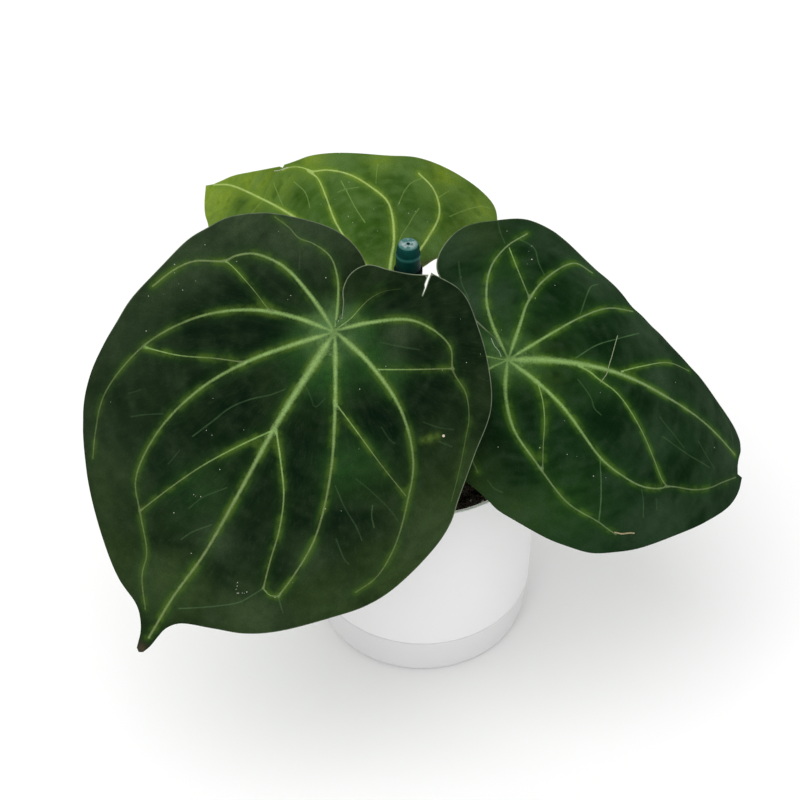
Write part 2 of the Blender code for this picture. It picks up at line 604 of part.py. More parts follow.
def unfold(leaf, point):
    """From the flat pattern to the angle and place that the blade has on the plant."""
    radius = math.hypot(*point)
    turn = math.degrees(math.atan2(point[1], point[0]))
    degrees = (turn - 360 if turn > leaf["sinus"] else turn) / leaf["fold"]
    angle = math.radians(degrees)
    return degrees, radius * math.cos(angle), radius * math.sin(angle)


def joint_slope(leaf):
    """Slopes of the blade at its petiole joint, along and across."""
    size = 2.0
    values = []
    for u, v in ((size, 0), (-size, 0), (0, size), (0, -size)):
        values.append(blade_height(leaf, u, v, math.degrees(math.atan2(v, u)), leaf["width"]))
    return (values[0] - values[1]) / (2 * size), (values[2] - values[3]) / (2 * size)


def blade_point(leaf, point, segments, widths, rim, slope):
    """The upper and lower face over one point of the flat pattern."""
    degrees, u, v = unfold(leaf, point)
    radius = math.hypot(u, v)
    edge = float(np.interp(math.atan2(point[1], point[0]), *rim))
    height = blade_height(leaf, u, v, degrees, max(edge, radius, 20))
    distance, index, t = nearest(segments, point)
    width = widths[index][0] + (widths[index][1] - widths[index][0]) * t
    swell = QUILT * (1 - math.exp(-(distance / QUILT_REACH) ** 2)) * smooth_step((radius - 4) / 16)
    rib = RIB * (width / 5) * max(0.0, 1 - distance / (0.6 * width + 0.4))
    joint_part = smooth_step((BOSS_RADIUS + 8 - radius) / 8)
    top = height + swell
    bottom = (top - BLADE - rib) * (1 - joint_part) + (slope[0] * u + slope[1] * v - BOSS) * joint_part
    bottom = min(bottom, top - BLADE)
    return (u, v, top), (u, v, bottom)


def make_petiole(name, leaf, petiole):
    """A round stalk from its hole in the soil to the underside of its blade."""
    frame = blade_frame(leaf)
    slope = joint_slope(leaf)
    normal = (frame.to_3x3() @ Vector((-slope[0], -slope[1], 1))).normalized()
    seat = frame @ Vector((0, 0, -BOSS)) - normal * GAP
    x, y = petiole["foot"]
    low = SOIL_TOP - ROOTED
    route = [(x, y, low), (x, y, SOIL_TOP - 8), (x, y, SOIL_TOP + 5), *petiole["via"],
             tuple(seat - normal * 5), tuple(seat)]
    path = [Vector(p) for p in smooth_path(route, 7.0)]
    length = len(path) - 1
    verts, faces = [], []
    side = Vector((1, 0, 0))
    for k, point in enumerate(path):
        ahead = (path[min(k + 1, length)] - path[max(k - 1, 0)]).normalized()
        if k == 0:
            ahead = Vector((0, 0, 1))
        if k == length:
            ahead = normal
        side = (side - ahead * side.dot(ahead)).normalized()
        up = ahead.cross(side)
        t = k / length
        radius = PETIOLE_BASE_RADIUS + (PETIOLE_RADIUS - PETIOLE_BASE_RADIUS) * smooth_step((t - 0.25) / 0.5)
        radius += (KNEE_RADIUS - PETIOLE_RADIUS) * smooth_step((t - 0.86) / 0.06)
        for j in range(PETIOLE_SIDES):
            angle = 2 * math.pi * j / PETIOLE_SIDES
            verts.append(point + (side * math.cos(angle) + up * math.sin(angle)) * radius)
    for k in range(length):
        for j in range(PETIOLE_SIDES):
            a, b = k * PETIOLE_SIDES + j, k * PETIOLE_SIDES + (j + 1) % PETIOLE_SIDES
            faces.append((a, b, b + PETIOLE_SIDES, a + PETIOLE_SIDES))
    faces.append(tuple(reversed(range(PETIOLE_SIDES))))
    faces.append(tuple(range(length * PETIOLE_SIDES, (length + 1) * PETIOLE_SIDES)))
    finish(name, to_mesh(name, verts, faces), "stem")


def make_crown():
    """The short stem that the petioles grow round, with its blunt tip just out of the mix."""
    low = SOIL_TOP - ROOTED
    profile = [(0, low), (CROWN_RADIUS - 1, low), (CROWN_RADIUS, low + 2), (CROWN_RADIUS, SOIL_TOP + 2),
               (CROWN_RADIUS - 0.8, SOIL_TOP + 6), (CROWN_RADIUS - 2.6, CROWN_TOP - 4),
               (CROWN_RADIUS - 4.6, CROWN_TOP - 1), (0, CROWN_TOP)]
    finish("crown", turned("crown", profile, (0, 0), HOLE_SIDES), "stem")


def build():
    clear_scene()
    make_reservoir()
    make_pot()
    make_soil()
    make_gauge()
    make_crown()
    for side, leaf in BLADES.items():
        colour = "young_velvet" if side == "back" else "velvet"
        make_blade("blade_" + side, leaf, colour)
        make_petiole("petiole_" + side, leaf, PETIOLES[side])


build()
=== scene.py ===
# Potted velvet anthurium in a white self-watering pot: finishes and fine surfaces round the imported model.
# Lengths in the dictionaries are millimetres and become metres where a mesh is made.
import math

import bmesh
import bpy
import numpy as np
from mathutils import Matrix, Vector, noise
from mathutils.geometry import delaunay_2d_cdt


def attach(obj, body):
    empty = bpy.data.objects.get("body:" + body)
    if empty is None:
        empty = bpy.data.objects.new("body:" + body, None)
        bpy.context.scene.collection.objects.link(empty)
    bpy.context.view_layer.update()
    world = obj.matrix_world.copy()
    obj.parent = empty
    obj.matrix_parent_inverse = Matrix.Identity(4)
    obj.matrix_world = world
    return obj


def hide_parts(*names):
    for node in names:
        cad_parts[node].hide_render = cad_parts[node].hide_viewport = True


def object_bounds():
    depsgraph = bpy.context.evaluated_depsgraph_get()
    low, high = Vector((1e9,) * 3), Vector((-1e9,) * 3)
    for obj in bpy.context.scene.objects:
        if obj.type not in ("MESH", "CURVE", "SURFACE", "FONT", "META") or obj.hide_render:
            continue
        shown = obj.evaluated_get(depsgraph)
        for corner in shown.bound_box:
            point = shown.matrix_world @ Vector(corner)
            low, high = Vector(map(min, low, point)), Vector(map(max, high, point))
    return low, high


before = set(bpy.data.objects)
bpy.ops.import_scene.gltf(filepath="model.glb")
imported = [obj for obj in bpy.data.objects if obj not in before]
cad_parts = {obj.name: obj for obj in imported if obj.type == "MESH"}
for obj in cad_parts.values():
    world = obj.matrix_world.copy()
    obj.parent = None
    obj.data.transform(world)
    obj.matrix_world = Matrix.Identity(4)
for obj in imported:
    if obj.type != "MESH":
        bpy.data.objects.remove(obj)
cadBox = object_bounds()
scene = bpy.context.scene
mm = 0.001
print("frame loaded:", len(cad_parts), "nodes")


def linearColour(code):  # sRGB hex to the linear colour that the shaders use
    parts = [int(code[k:k + 2], 16) / 255 for k in (1, 3, 5)]
    return (*(c / 12.92 if c <= 0.04045 else ((c + 0.055) / 1.055) ** 2.4 for c in parts), 1)


def addNode(tree, kind, values=None, ramp=None, **settings):  # a node, its settings, its values and its links
    node = tree.nodes.new(kind)
    for name, value in settings.items():
        setattr(node, name, value)
    for name, value in (values or {}).items():
        if isinstance(name, int):
            socket = node.inputs[name]
        else:
            socket = next(s for s in node.inputs if s.name == name and s.enabled)
        if isinstance(value, bpy.types.Node):
            value = next(s for s in value.outputs if s.enabled)
        if isinstance(value, bpy.types.NodeSocket):
            tree.links.new(value, socket)
        else:
            isColour = isinstance(value, str) and value[:1] == "#"
            socket.default_value = linearColour(value) if isColour else value
    for k, (position, colour) in enumerate(ramp or []):
        stops = node.color_ramp.elements
        stop = stops[k] if k < len(stops) else stops.new(position)
        stop.position, stop.color = position, linearColour(colour)
    return node


def newMaterial(name, **constants):  # constants go straight on the shader's own sockets
    material = bpy.data.materials.new(name)
    material.use_nodes = True
    shader = material.node_tree.nodes["Principled BSDF"]
    for key, value in constants.items():
        socket = shader.inputs[key.replace("_", " ")]
        socket.default_value = linearColour(value) if isinstance(value, str) else value
    return material, material.node_tree, shader


def finishShader(tree, shader, colour, rough, bump):  # links its colour, its roughness and its fine relief
    source, low, high, least, most = rough
    height, strength, depth = bump
    roughness = addNode(tree, "ShaderNodeMapRange", {"Value": source, "From Min": low, "From Max": high,
                                                     "To Min": least, "To Max": most})
    relief = addNode(tree, "ShaderNodeBump", {"Height": height, "Strength": strength, "Distance": depth})
    for name, node in (("Base Color", colour), ("Roughness", roughness), ("Normal", relief)):
        tree.links.new(next(s for s in node.outputs if s.enabled), shader.inputs[name])


def smoothStep(x, start=0, reach=1):  # 0 up to the start, then a soft rise to 1 over the reach
    x = np.clip((x - start) / reach, 0, 1)
    return x * x * (3 - 2 * x)


def setAttribute(mesh, name, kind, domain, values):  # what the finishes and the node trees read on a mesh
    attribute = mesh.attributes.new(name, kind, domain)
    attribute.data.foreach_set("vector" if kind == "FLOAT_VECTOR" else "value", values)


def keepMesh(bm, name):  # a finished bmesh as a smooth shaded mesh
    mesh = bpy.data.meshes.new(name)
    bm.to_mesh(mesh)
    bm.free()
    mesh.shade_smooth()
    return mesh


def newObject(name, data, material=None):
    obj = bpy.data.objects.new(name, data)
    scene.collection.objects.link(obj)
    if material:
        data.materials.append(material)
    return obj


def isThePiece(obj, slot, *nodes):  # every piece rides on the one body
    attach(obj, "root")
    if nodes:
        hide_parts(*nodes)


def smoothCurve(points, step):  # one smooth curve through the points, cut into even steps
    points = [np.array(p, float) for p in points]
    if len(points) == 2:
        count = max(1, round(float(np.linalg.norm(points[1] - points[0])) / step))
        return np.array([points[0] + (points[1] - points[0]) * k / count for k in range(count + 1)])
    ends = [2 * points[0] - points[1], *points, 2 * points[-1] - points[-2]]
    fine = []
    for k in range(1, len(ends) - 2):
        p0, p1, p2, p3 = ends[k - 1:k + 3]
        gaps = [max(np.linalg.norm(b - a), 1e-6) ** 0.5 for a, b in ((p0, p1), (p1, p2), (p2, p3))]
        t1 = gaps[0]
        t2 = t1 + gaps[1]
        t3 = t2 + gaps[2]
        for j in range(24):
            t = t1 + (t2 - t1) * j / 24
            a1 = ((t1 - t) * p0 + t * p1) / t1
            a2 = ((t2 - t) * p1 + (t - t1) * p2) / (t2 - t1)
            a3 = ((t3 - t) * p2 + (t - t2) * p3) / (t3 - t2)
            b1 = ((t2 - t) * a1 + t * a2) / t2
            b2 = ((t3 - t) * a2 + (t - t1) * a3) / (t3 - t1)
            fine.append(((t2 - t) * b1 + (t - t1) * b2) / (t2 - t1))
    fine = np.array(fine + [points[-1]])
    along = np.concatenate([[0], np.cumsum(np.linalg.norm(np.diff(fine, axis=0), axis=1))])
    at = np.linspace(0, along[-1], max(2, round(along[-1] / step)) + 1)
    return np.stack([np.interp(at, along, fine[:, k]) for k in range(fine.shape[1])], axis=1)


# Blades. Each is drawn flat in polar points (degrees, mm) about its petiole joint: 0 degrees points at the
# tip, and positive angles are on the side of cross(normal, midrib). A third entry marks a sharp corner.
# A vein is its width at the start and at the end, how pale it still is at the end, and its points. A faint
# line is how much it shows, and its points. A spot of a tone or of dust is degrees, mm, its reach and its
# amount. A pale rim is from and to which degrees, and how pale; it paints a paler margin, and on the
# right blade's sinus edges a painted highlight on the lit lobe edges.
# The blade's shape is its length and width, the rise of its midrib (arch), the fall of its tip (sag), the
# rise of each side at the joint and at the tip (bend), the slope of each back lobe and from which degrees
# (lift), the height and number of waves at its edge (wave), and the height of its fine creases (crease).
frontBlade = {
    "joint": (-54, -60, 300), "tip": (-165, -187, 167), "normal": (0, -0.72, 0.69), "fold": 0.85,
    "sinus": 180,         # flat direction of the gap between the back lobes
    "star": (128, 1.2),   # where the veins meet
    "outline": [
        (176, 9), (190, 17), (197, 25), (193, 35), (183, 43), (168, 48), (157, 56), (151.6, 64.2, 1),
        (148, 59.5, 1), (146.3, 58.8, 1), (142.6, 55.6, 1), (146, 59.2, 1), (148.8, 62.1, 1),
        (151.8, 66.1, 1), (138, 78), (123, 84), (109, 92), (95, 102), (80, 109),
        (68, 121.5), (63, 130), (57, 138), (44, 154), (37.7, 160.7), (31, 166), (20, 178), (14.6, 183),
        (9, 186), (3.4, 191.5), (1.7, 198), (1.2, 205), (0.9, 211.8), (0.4, 217, 1), (-0.2, 218.3, 1),
        (-0.8, 216.6, 1), (-1.1, 213), (-1.7, 207), (-3, 200.5), (-4.9, 195.4), (-9.9, 190.2), (-17, 180),
        (-29, 165), (-42, 152), (-49, 143.4), (-55.8, 133.4), (-61.6, 125.6), (-67.8, 119.2), (-80, 106.5),
        (-91.8, 99), (-98.8, 94), (-106, 90), (-119, 79), (-131, 69), (-147, 60), (-160, 53), (-174, 44),
        (-184, 33), (-186, 20), (-176, 9)],
    "veins": [
        (10.5, 2.7, 0.95, [(0, 0), (0, 60), (1, 110), (1, 150), (0, 180), (0, 208)]),
        (6.0, 1.7, 0.5, [(-40, 0), (-40, 26), (-39, 55), (-35, 86), (-29, 117), (-22, 143), (-16, 153),
                          (-9, 168), (-7, 180), (-3, 195)]),
        (2.0, 1.5, 0.75, [(1, 65), (-8, 85), (-13, 108), (-15, 130), (-16, 153)]),
        (6.0, 1.7, 0.45, [(-79, 0), (-79, 24), (-74, 47), (-66, 75), (-57, 103), (-50, 122), (-43, 139),
                         (-36, 150), (-31, 158)]),
        (1.4, 1.4, 0.8, [(-54, 109), (-50, 90), (-46, 70), (-40, 55)]),
        (6.2, 2.1, 0.9, [(-120, 0), (-118, 20), (-111.8, 46.5), (-104.1, 62.8), (-99.8, 68.1), (-96, 71.6),
                         (-92.2, 74.2), (-85.6, 90.3), (-80, 99), (-73, 108)]),
        (1.1, 0.9, 0.8, [(-92.2, 74.2), (-91.7, 68.7), (-88.5, 56.6), (-84.2, 47.3), (-79.5, 41.1),
                         (-76.8, 36.8)]),
        (4.4, 1.4, 0.5, [(-159, 0), (-159, 18), (-154, 31), (-147, 43), (-136, 52), (-129, 57), (-126, 65),
                         (-122, 74)]),
        (6.4, 2.0, 0.8, [(34, 0), (33, 43), (30, 85), (26, 121), (22, 143), (19.4, 157)]),
        (2.2, 1.7, 0.8, [(1, 65), (9, 80), (14.5, 99), (16, 119), (15.8, 138), (15.9, 154.4)]),
        (1.3, 1.3, 0.8, [(15.9, 154.4), (17.6, 157.4), (19.4, 157)]),
        (1.7, 1.2, 0.65, [(33, 41), (44, 58), (51, 82), (55, 104)]),
        (6.8, 1.7, 0.5, [(80, 0), (80, 28), (72, 60), (63, 88), (55, 107), (47, 130), (41, 145), (36, 152)]),
        (1.7, 1.4, 0.8, [(82, 35), (96, 52), (104, 73)]),
        (5.6, 1.2, 0.25, [(134, 0), (134, 22), (128, 48), (114, 68), (103, 73), (96, 85), (88, 94), (83, 98),
                          (74, 108), (66, 120)]),
        (1.5, 0.7, 0.15, [(150, 3), (156, 13), (161, 21), (162, 28), (159, 37), (153, 46)]),
    ],
    "faint": [
        (0.25, [(-127, 50), (-120, 40)]),
        (0.45, [(-22, 101), (-22, 88), (-22, 73), (-19, 61), (-13, 51), (-8, 43)]),
        (0.3, [(108, 29), (108, 37), (109, 51)]), (0.25, [(1, 33), (14, 41), (18, 45), (25, 39)]),
        (0.35, [(32, 89), (35, 102), (38, 114), (39, 122)]), (0.5, [(44, 103), (43, 109), (43, 116)]),
        (0.25, [(40, 86), (45, 96), (49, 109), (50, 116)]), (0.25, [(58, 62), (59, 71), (60, 74)]),
        (0.35, [(32, 120), (34, 132), (35, 135)]), (0.25, [(76, 74), (79, 83), (82, 90)]),
        (0.35, [(75, 88), (77, 96)]), (0.5, [(19.4, 157), (21, 166)]),
        (0.3, [(-36, 127), (-35, 119), (-33, 109)]), (0.2, [(-42, 124), (-42, 116)]),
        (0.25, [(-20, 122), (-21, 112)]), (0.35, [(-8, 132), (-7, 122), (-3, 109)]),
        (0.45, [(-5, 149), (-4, 142), (-1, 132)]),
        (0.7, [(15.9, 154.4), (13.7, 161), (12, 166), (8, 173), (2, 184)]),
    ],
    "tones": {
        "deep": [(-68, 62, 15, 0.8), (-55, 64, 14, 0.8), (-53, 47, 12, 0.9), (104, 54, 9, 0.9),
            (51, 54, 10, 0.8), (-14, 92, 14, 0.6), (22, 110, 12, 0.5), (148, 38, 9, 0.9), (88, 64, 12, 0.7),
            (-36, 74, 16, 0.5), (14, 65, 12, 0.7), (-20, 99, 14, 0.8), (122, 79, 16, 0.8),
            (140, 72, 12, 0.6), (82, 90, 12, 0.5), (-33, 130, 13, 0.6), (15, 88, 10, 0.7),
            (11, 120, 12, 0.7), (15, 137, 10, 0.7), (-66, 46, 18, 1), (-64, 35, 10, 1), (-62, 78, 16, 1),
            (-48, 112, 24, 0.5), (-112, 36, 10, 0.5), (154, 43, 11, 1), (144, 44, 10, 1)],
        "brown": [(-0.5, 217, 4.5, 1)],
        "lime": [(76, 85.5, 2, 0.9), (73.5, 83.5, 2.2, 0.9), (70.5, 81.5, 2, 0.6)],
        "olive": [(80, 92, 14, 0.3), (61, 124, 26, 0.7), (47, 148, 25, 0.9), (76, 112, 14, 0.6),
            (30, 158, 22, 0.7), (14, 172, 20, 0.4), (-1, 172, 18, 1), (-12, 185, 22, 0.6),
            (-24, 165, 20, 0.35)],
        "grey": [(-4, 178, 14, 0.5), (-59, 120, 30, 0.45), (-86, 94, 26, 0.6), (-129, 60, 24, 0.7),
            (-31, 150, 30, 0.3), (122, 39, 9, 0.8), (-110, 84, 20, 0.7), (100, 39, 8, 0.4),
            (2, 137, 12, 0.6), (25, 133, 10, 0.5), (15, 171, 14, 0.8), (57, 130, 14, 0.8)],
        "fresh": [(38, 78, 16, 0.6), (22, 22, 16, 1), (84, 26, 12, 0.9), (-10, 120, 18, 0.3),
            (-29, 21, 14, 0.7), (84, 41, 10, 0.8), (123, 18, 10, 0.8)],
    },
    "dust": [(11.3, 159, 3, 2.2), (8.6, 163.3, 2.2, 1.2), (-19.7, 92, 2.2, 2.5), (-12.3, 76, 1.5, 1.0),
             (-93.3, 32, 1.5, 2.0), (-7.9, 124.8, 2.5, 1.2), (-78, 97, 9, 0.1), (-130, 66, 6, 0.1)],
    "length": 218, "width": 110, "arch": 0, "sag": 15, "bend": ((-10, -10), (-10, -10)),
    "lift": (0.12, -0.05, 150), "wave": (1.2, 11), "crease": 0.16,
    "paleRim": ((140, 200, 0.95), (-184, -60, 0.6), (60, 140, 0.75), (10, 60, 0.3)),
}
rightBlade = {
    "joint": (48, -28, 250), "tip": (200.5, -42, 160), "normal": (0.456, -0.342, 0.822), "fold": 0.9,
    "sinus": 135, "star": (-39, 2.2),
    "outline": [
        (116, 8), (122, 14), (128, 19), (132, 28), (134, 42), (134, 57), (131.5, 73), (126, 84),
        (118, 93), (107, 95), (97, 97), (87, 94.3), (81.7, 92.4), (76, 90.8), (64, 90), (54, 91),
        (45, 92.6), (40, 96.6), (35.4, 100.7), (31.4, 106.8), (27.4, 113), (20, 131), (14, 147),
        (9, 166), (6, 171.5), (2.6, 170.3), (1, 170, 1), (-0.5, 172, 1), (-0.4, 176.7, 1), (-3.3, 176.8),
        (-8, 173), (-17, 160), (-27, 148), (-38, 139.4), (-44, 134.5), (-50.2, 129.4), (-56, 122),
        (-62, 114.6), (-72.4, 102), (-77, 97), (-81, 91), (-90, 82), (-102, 76), (-117, 71), (-133, 68),
        (-150, 65), (-167, 61), (-184, 60), (-197, 60), (-208, 58), (-217, 54), (-224.8, 49), (-225.5, 42),
        (-226.6, 33), (-227.8, 26), (-230, 21), (-235.5, 15), (-239.8, 9)],
    "veins": [
        (12.0, 2.8, 0.9, [(11, 0), (12, 26), (11, 60), (9, 80), (7, 100), (5, 135), (3, 166)]),
        (5.4, 2.0, 0.95, [(118, 0), (117, 24), (115, 42), (109, 64), (102, 78), (95, 88)]),
        (1.4, 1.4, 0.8, [(101, 77), (94, 59), (85, 46)]),
        (5.4, 2.0, 0.9, [(82, 0), (82, 25), (84, 43), (80, 63), (72, 83), (64, 86)]),
        (5.4, 2.0, 0.85, [(48, 0), (48, 32), (49, 56), (47, 76), (42, 92)]),
        (2.0, 1.4, 0.85, [(12, 69), (17, 84), (21, 107), (20, 124)]),
        (2.6, 1.6, 0.8, [(9.5, 42), (6.9, 48.5), (2.9, 55), (-1.5, 68), (-11, 89), (-17.6, 108.4),
                         (-19.9, 118.3), (-20.1, 124)]),
        (6.2, 1.7, 0.6, [(-29, 0), (-30, 20), (-31, 42), (-33.9, 82.2), (-30.7, 99.1), (-27.2, 111.3),
                         (-22.8, 120.4), (-20.1, 124), (-18.3, 127.8), (-13.8, 141.1), (-9.4, 152),
                         (-5.9, 159.3), (-1.5, 171)]),
        (5.4, 1.7, 0.65, [(-79, 0), (-77, 24), (-71, 48), (-62, 69), (-55.1, 91.9), (-51.9, 100.8),
                          (-45.5, 114.6), (-43.8, 120), (-42, 125.6)]),
        (4.6, 1.4, 0.5, [(-125, 0), (-122, 14), (-108, 38), (-96, 60), (-86, 76)]),
        (1.5, 1.2, 0.6, [(-28, 22.8), (-41, 34.6), (-49, 46.3), (-56, 60.7), (-59.3, 74)]),
        (4.0, 1.4, 0.5, [(-175, 0), (-172, 20), (-160, 38), (-148, 54)]),
    ],
    "faint": [
        (0.4, [(98, 84), (94, 81), (91, 78), (87, 69), (82, 64)]), (0.3, [(106, 94), (105, 86), (103, 80)]),
        (0.5, [(51, 56), (58, 68), (60, 75), (59, 81)]), (0.6, [(17, 40), (27, 54), (30, 69), (32, 87)]),
        (0.35, [(-4, 42), (-14, 54), (-18, 58), (-19, 64)]), (0.3, [(-9, 104), (-8, 124), (-6, 145)]),
        (0.25, [(-3, 98), (-5, 107), (-7, 121)]), (0.25, [(-2, 130), (-4, 140), (-5, 149)]),
        (0.7, [(-33.9, 82.2), (-37.4, 88.2), (-41.2, 98.2), (-45.5, 114.5)]),
        (0.35, [(-28, 113), (-33, 126)]), (0.2, [(-26, 123), (-28, 128)]),
        (0.2, [(-82, 80), (-79, 85), (-76, 87)]), (0.3, [(127, 44), (126, 57), (123, 71)]),
        (0.3, [(12, 149), (8, 159), (4, 164)]),
    ],
    "tones": {
        "deep": [(-55, 50, 13, 0.6), (25, 55, 12, 0.6), (68, 55, 12, 0.7), (-15, 45, 10, 0.6),
            (-5, 88, 10, 0.6), (14, 120, 10, 0.6), (-52, 32, 10, 0.7), (37, 34, 11, 0.7),
            (-69, 74, 14, 0.8), (-21, 65, 14, 0.8)],
        "fresh": [(105, 62, 16, 0.4), (-56, 96, 22, 0.5), (0, 45, 20, 0.5), (100, 30, 14, 0.6),
            (60, 60, 18, 0.3), (-199, 14, 12, 0.9), (-20, 16, 16, 0.8), (48, 14, 12, 0.6)],
        "grey": [(48, 112, 14, 0.8), (12, 96, 12, 0.8), (63, 92, 18, 0.8), (34, 100, 20, 0.8),
            (11, 134, 22, 0.4), (120, 42, 14, 0.8), (120, 84, 14, 0.7), (2, 158, 22, 0.6),
            (85, 92, 14, 0.5), (-13, 98, 14, 0.4), (-30, 134, 20, 0.4)],
        "olive": [(-85, 80, 16, 0.4), (-72, 98, 16, 0.4), (112, 86, 12, 0.4), (-20, 26, 14, 0.4),
            (30, 25, 14, 0.4)],
    },
    "dust": [(91, 71, 4, 0.5), (-50, 60, 20, 0.02)],
    "length": 177, "width": 85, "arch": 24, "sag": 0, "bend": ((6, -34), (-14, -14)),
    "lift": (0, 0, 150), "wave": (1.0, 9), "crease": 0.3,
    # The first two pale rims, at the sinus edges, are a painted highlight on the lit lobe edges
    "paleRim": ((116, 134, 0.8), (-230, -180, 0.8), (60, 116, 0.35), (4, 24, 0.45)),
}
backBlade = {
    "joint": (-23, 69.6, 219.5), "tip": (-150, 191.5, 210), "normal": (-0.462, -0.42, 0.781), "fold": 1.0,
    "sinus": 180, "star": (0, 0),
    "outline": [
        (118, 8), (124, 16), (136, 25), (152, 32), (166, 42), (169, 54), (161, 66), (149, 76), (134, 83),
        (118, 87), (100, 89), (82, 90), (64, 92), (46, 98), (30, 110), (18, 128), (9, 147), (6.6, 156),
        (4, 164), (0, 176, 1), (-1, 169.5), (-2.5, 163), (-5.4, 152.5), (-9.2, 138), (-14.2, 124),
        (-17.2, 118, 1), (-17.7, 115.4, 1), (-18.8, 115.9, 1), (-23.6, 109.8), (-28, 105.5), (-37, 97),
        (-49, 89.3), (-63, 85), (-76, 86), (-89, 87), (-103, 88), (-111, 86.8), (-117, 80.5), (-122, 72),
        (-125, 62), (-121, 50), (-115, 38), (-114.5, 28), (-115, 17), (-126, 8)],
    "veins": [
        (6.5, 3.0, 0.95, [(-10, 0), (-10, 40), (-7, 85), (-5, 115), (-3, 150), (-1, 168)]),
        (5.0, 2.4, 0.95, [(-20, 0), (-19, 24), (-22, 54), (-26, 74), (-27, 88), (-25, 97)]),
        (5.4, 2.4, 0.95, [(-66, 0), (-67, 18), (-68, 34), (-62, 55), (-52, 66), (-42, 78), (-33, 88),
                          (-26.5, 94.5)]),
        (2.0, 1.4, 0.9, [(-26.5, 94.5), (-23.2, 103.8), (-20, 110.3), (-17, 114)]),
        (5.2, 2.4, 0.95, [(-97, 0), (-97, 41), (-94, 60), (-86, 71), (-77, 77)]),
        (5.0, 2.0, 0.8, [(24, 0), (24, 50), (26, 80), (20, 108), (12, 132)]),
        (5.0, 2.0, 0.8, [(70, 0), (70, 30), (60, 60), (46, 80), (34, 96)]),
        (4.6, 1.8, 0.7, [(106, 0), (108, 30), (100, 56), (86, 72), (74, 80)]),
    ],
    "faint": [
        (0.5, [(-12, 111), (-8, 93)]), (0.5, [(-18, 98), (-19, 85), (-16, 74)]),
        (0.65, [(-37, 76), (-38, 68), (-40, 53), (-43, 44)]), (0.4, [(-33, 70), (-38, 69), (-45, 68)]),
        (0.45, [(-79, 75), (-74, 68), (-69, 54)]), (0.5, [(-74, 32), (-79, 42), (-83, 56)]),
        (0.4, [(-55, 68), (-57, 80)]), (0.4, [(-100, 62), (-107, 80), (-110, 84)]),
        (0.4, [(-89, 67), (-93, 75)]), (0.3, [(2, 112), (-5, 111), (-9, 112)]),
    ],
    "tones": {
        "deep": [(-54, 52, 10, 0.5), (-30, 60, 12, 0.5), (-16, 87, 10, 0.9), (0, 126, 8, 0.9),
            (-66, 66, 10, 0.3), (-38, 34, 12, 0.7)],
        "brown": [(-111.5, 26.5, 1.6, 1), (-112.5, 29.5, 1.6, 1), (-113.5, 32.5, 1.6, 1),
            (-114.5, 35.5, 1.5, 1)],
        "lime": [(1, 160, 34, 1), (-6, 130, 24, 0.7), (-28, 100, 12, 0.7), (-109, 80, 12, 0.5),
            (-88, 85, 12, 0.6), (-58, 84, 10, 0.5), (-120, 60, 12, 0.6), (-15, 100, 14, 0.4)],
        "fresh": [(-18, 80, 18, 0.7), (-25, 54, 18, 0.9), (-69, 60, 14, 0.4), (-88, 44, 14, 0.2),
            (-38, 40, 16, 0.8), (-50, 72, 14, 0.6)],
        "grey": [(-40, 88, 16, 0.5), (-70, 74, 14, 0.4), (-109, 76, 10, 0.6), (-91, 42, 9, 0.7),
            (-105, 40, 8, 0.6)],
    },
    "dust": [(-60, 60, 30, 0.07)],
    "length": 176, "width": 90, "arch": 22, "sag": 0, "bend": ((8, 8), (8, 8)),
    "lift": (0, 0, 150), "wave": (1.0, 9), "crease": 0.45,
    "paleRim": ((-125, -60, 0.35), (-30, 10, 0.5)),
}
tissue = {
    "step": 1.7, "veinStep": 1.8,       # spacing of a blade's points, and of those on its veins
    "rows": (1.0, 2.1),   # rows of points on each side of a vein, in half widths of what shows of it
    "threadRow": 1.3,     # the same for a faint vein
    "clear": 0.8,         # how far these rows stay from the blade's edge
    "thick": 0.8, "rimThick": 0.35, "rimReach": 7,
    "boss": 2.2, "bossReach": 6.0, "bossBlend": 8,      # where the petiole joins
    "underRib": 1.3, "underRibReach": 3,                # height of the midrib under the blade
    "topRib": 0.35, "ribWidth": 5,      # its height on the blade, in full for a vein of this width
    "quilt": 1.0, "quiltReach": 6.0, "quiltIn": (4, 16),        # rise of the blade between its veins
    "puff": 0.9, "puffIn": (3, 14),     # its further rise away from the edge: from and over how many mm
    "creaseGap": 3, "creaseIn": (8, 20), "creaseReach": 4,      # creases fade at veins, joint and edge
    "veinHalf": 0.25,     # half width of what shows pale of a vein, as a share of its width
    "web": 1.6, "webReach": 1.8,        # how much wider a vein gets where another one joins it
    "thread": 0.5,        # half width of a faint vein
    "leastRim": 20,       # the edge counts as at least this far from the joint
}


def flatPoint(blade, degrees, radius):
    angle = math.radians(degrees * blade["fold"])
    return radius * math.cos(angle), radius * math.sin(angle)


def bladeOutline(blade, step):
    spans, span = [], []
    for point in blade["outline"]:
        span.append(flatPoint(blade, *point[:2]))
        if len(point) == 3 and len(span) > 1:
            spans.append(span)
            span = [span[-1]]
    spans.append(span)
    edge = [p for s in spans if len(s) > 1 for p in smoothCurve(s, step)[:-1]]
    return np.array(edge + [np.array(spans[-1][-1])])


def nearestLine(points, starts, ends, near, far):  # nearest of many lines, measured in units of near..far
    best = np.full(len(points), 1e9)
    index = np.zeros(len(points), int)
    share = np.zeros(len(points))
    along = ends - starts
    squares = np.maximum((along ** 2).sum(1), 1e-9)
    for first in range(0, len(points), 2000):
        p = points[first:first + 2000, None, :]
        t = np.clip(((p - starts) * along).sum(2) / squares, 0, 1)
        gap = np.linalg.norm(starts + along * t[..., None] - p, axis=2) / (near + (far - near) * t)
        k = gap.argmin(1)
        rows = np.arange(len(k))
        best[first:first + 2000], index[first:first + 2000] = gap[rows, k], k
        share[first:first + 2000] = t[rows, k]
    return best, index, share


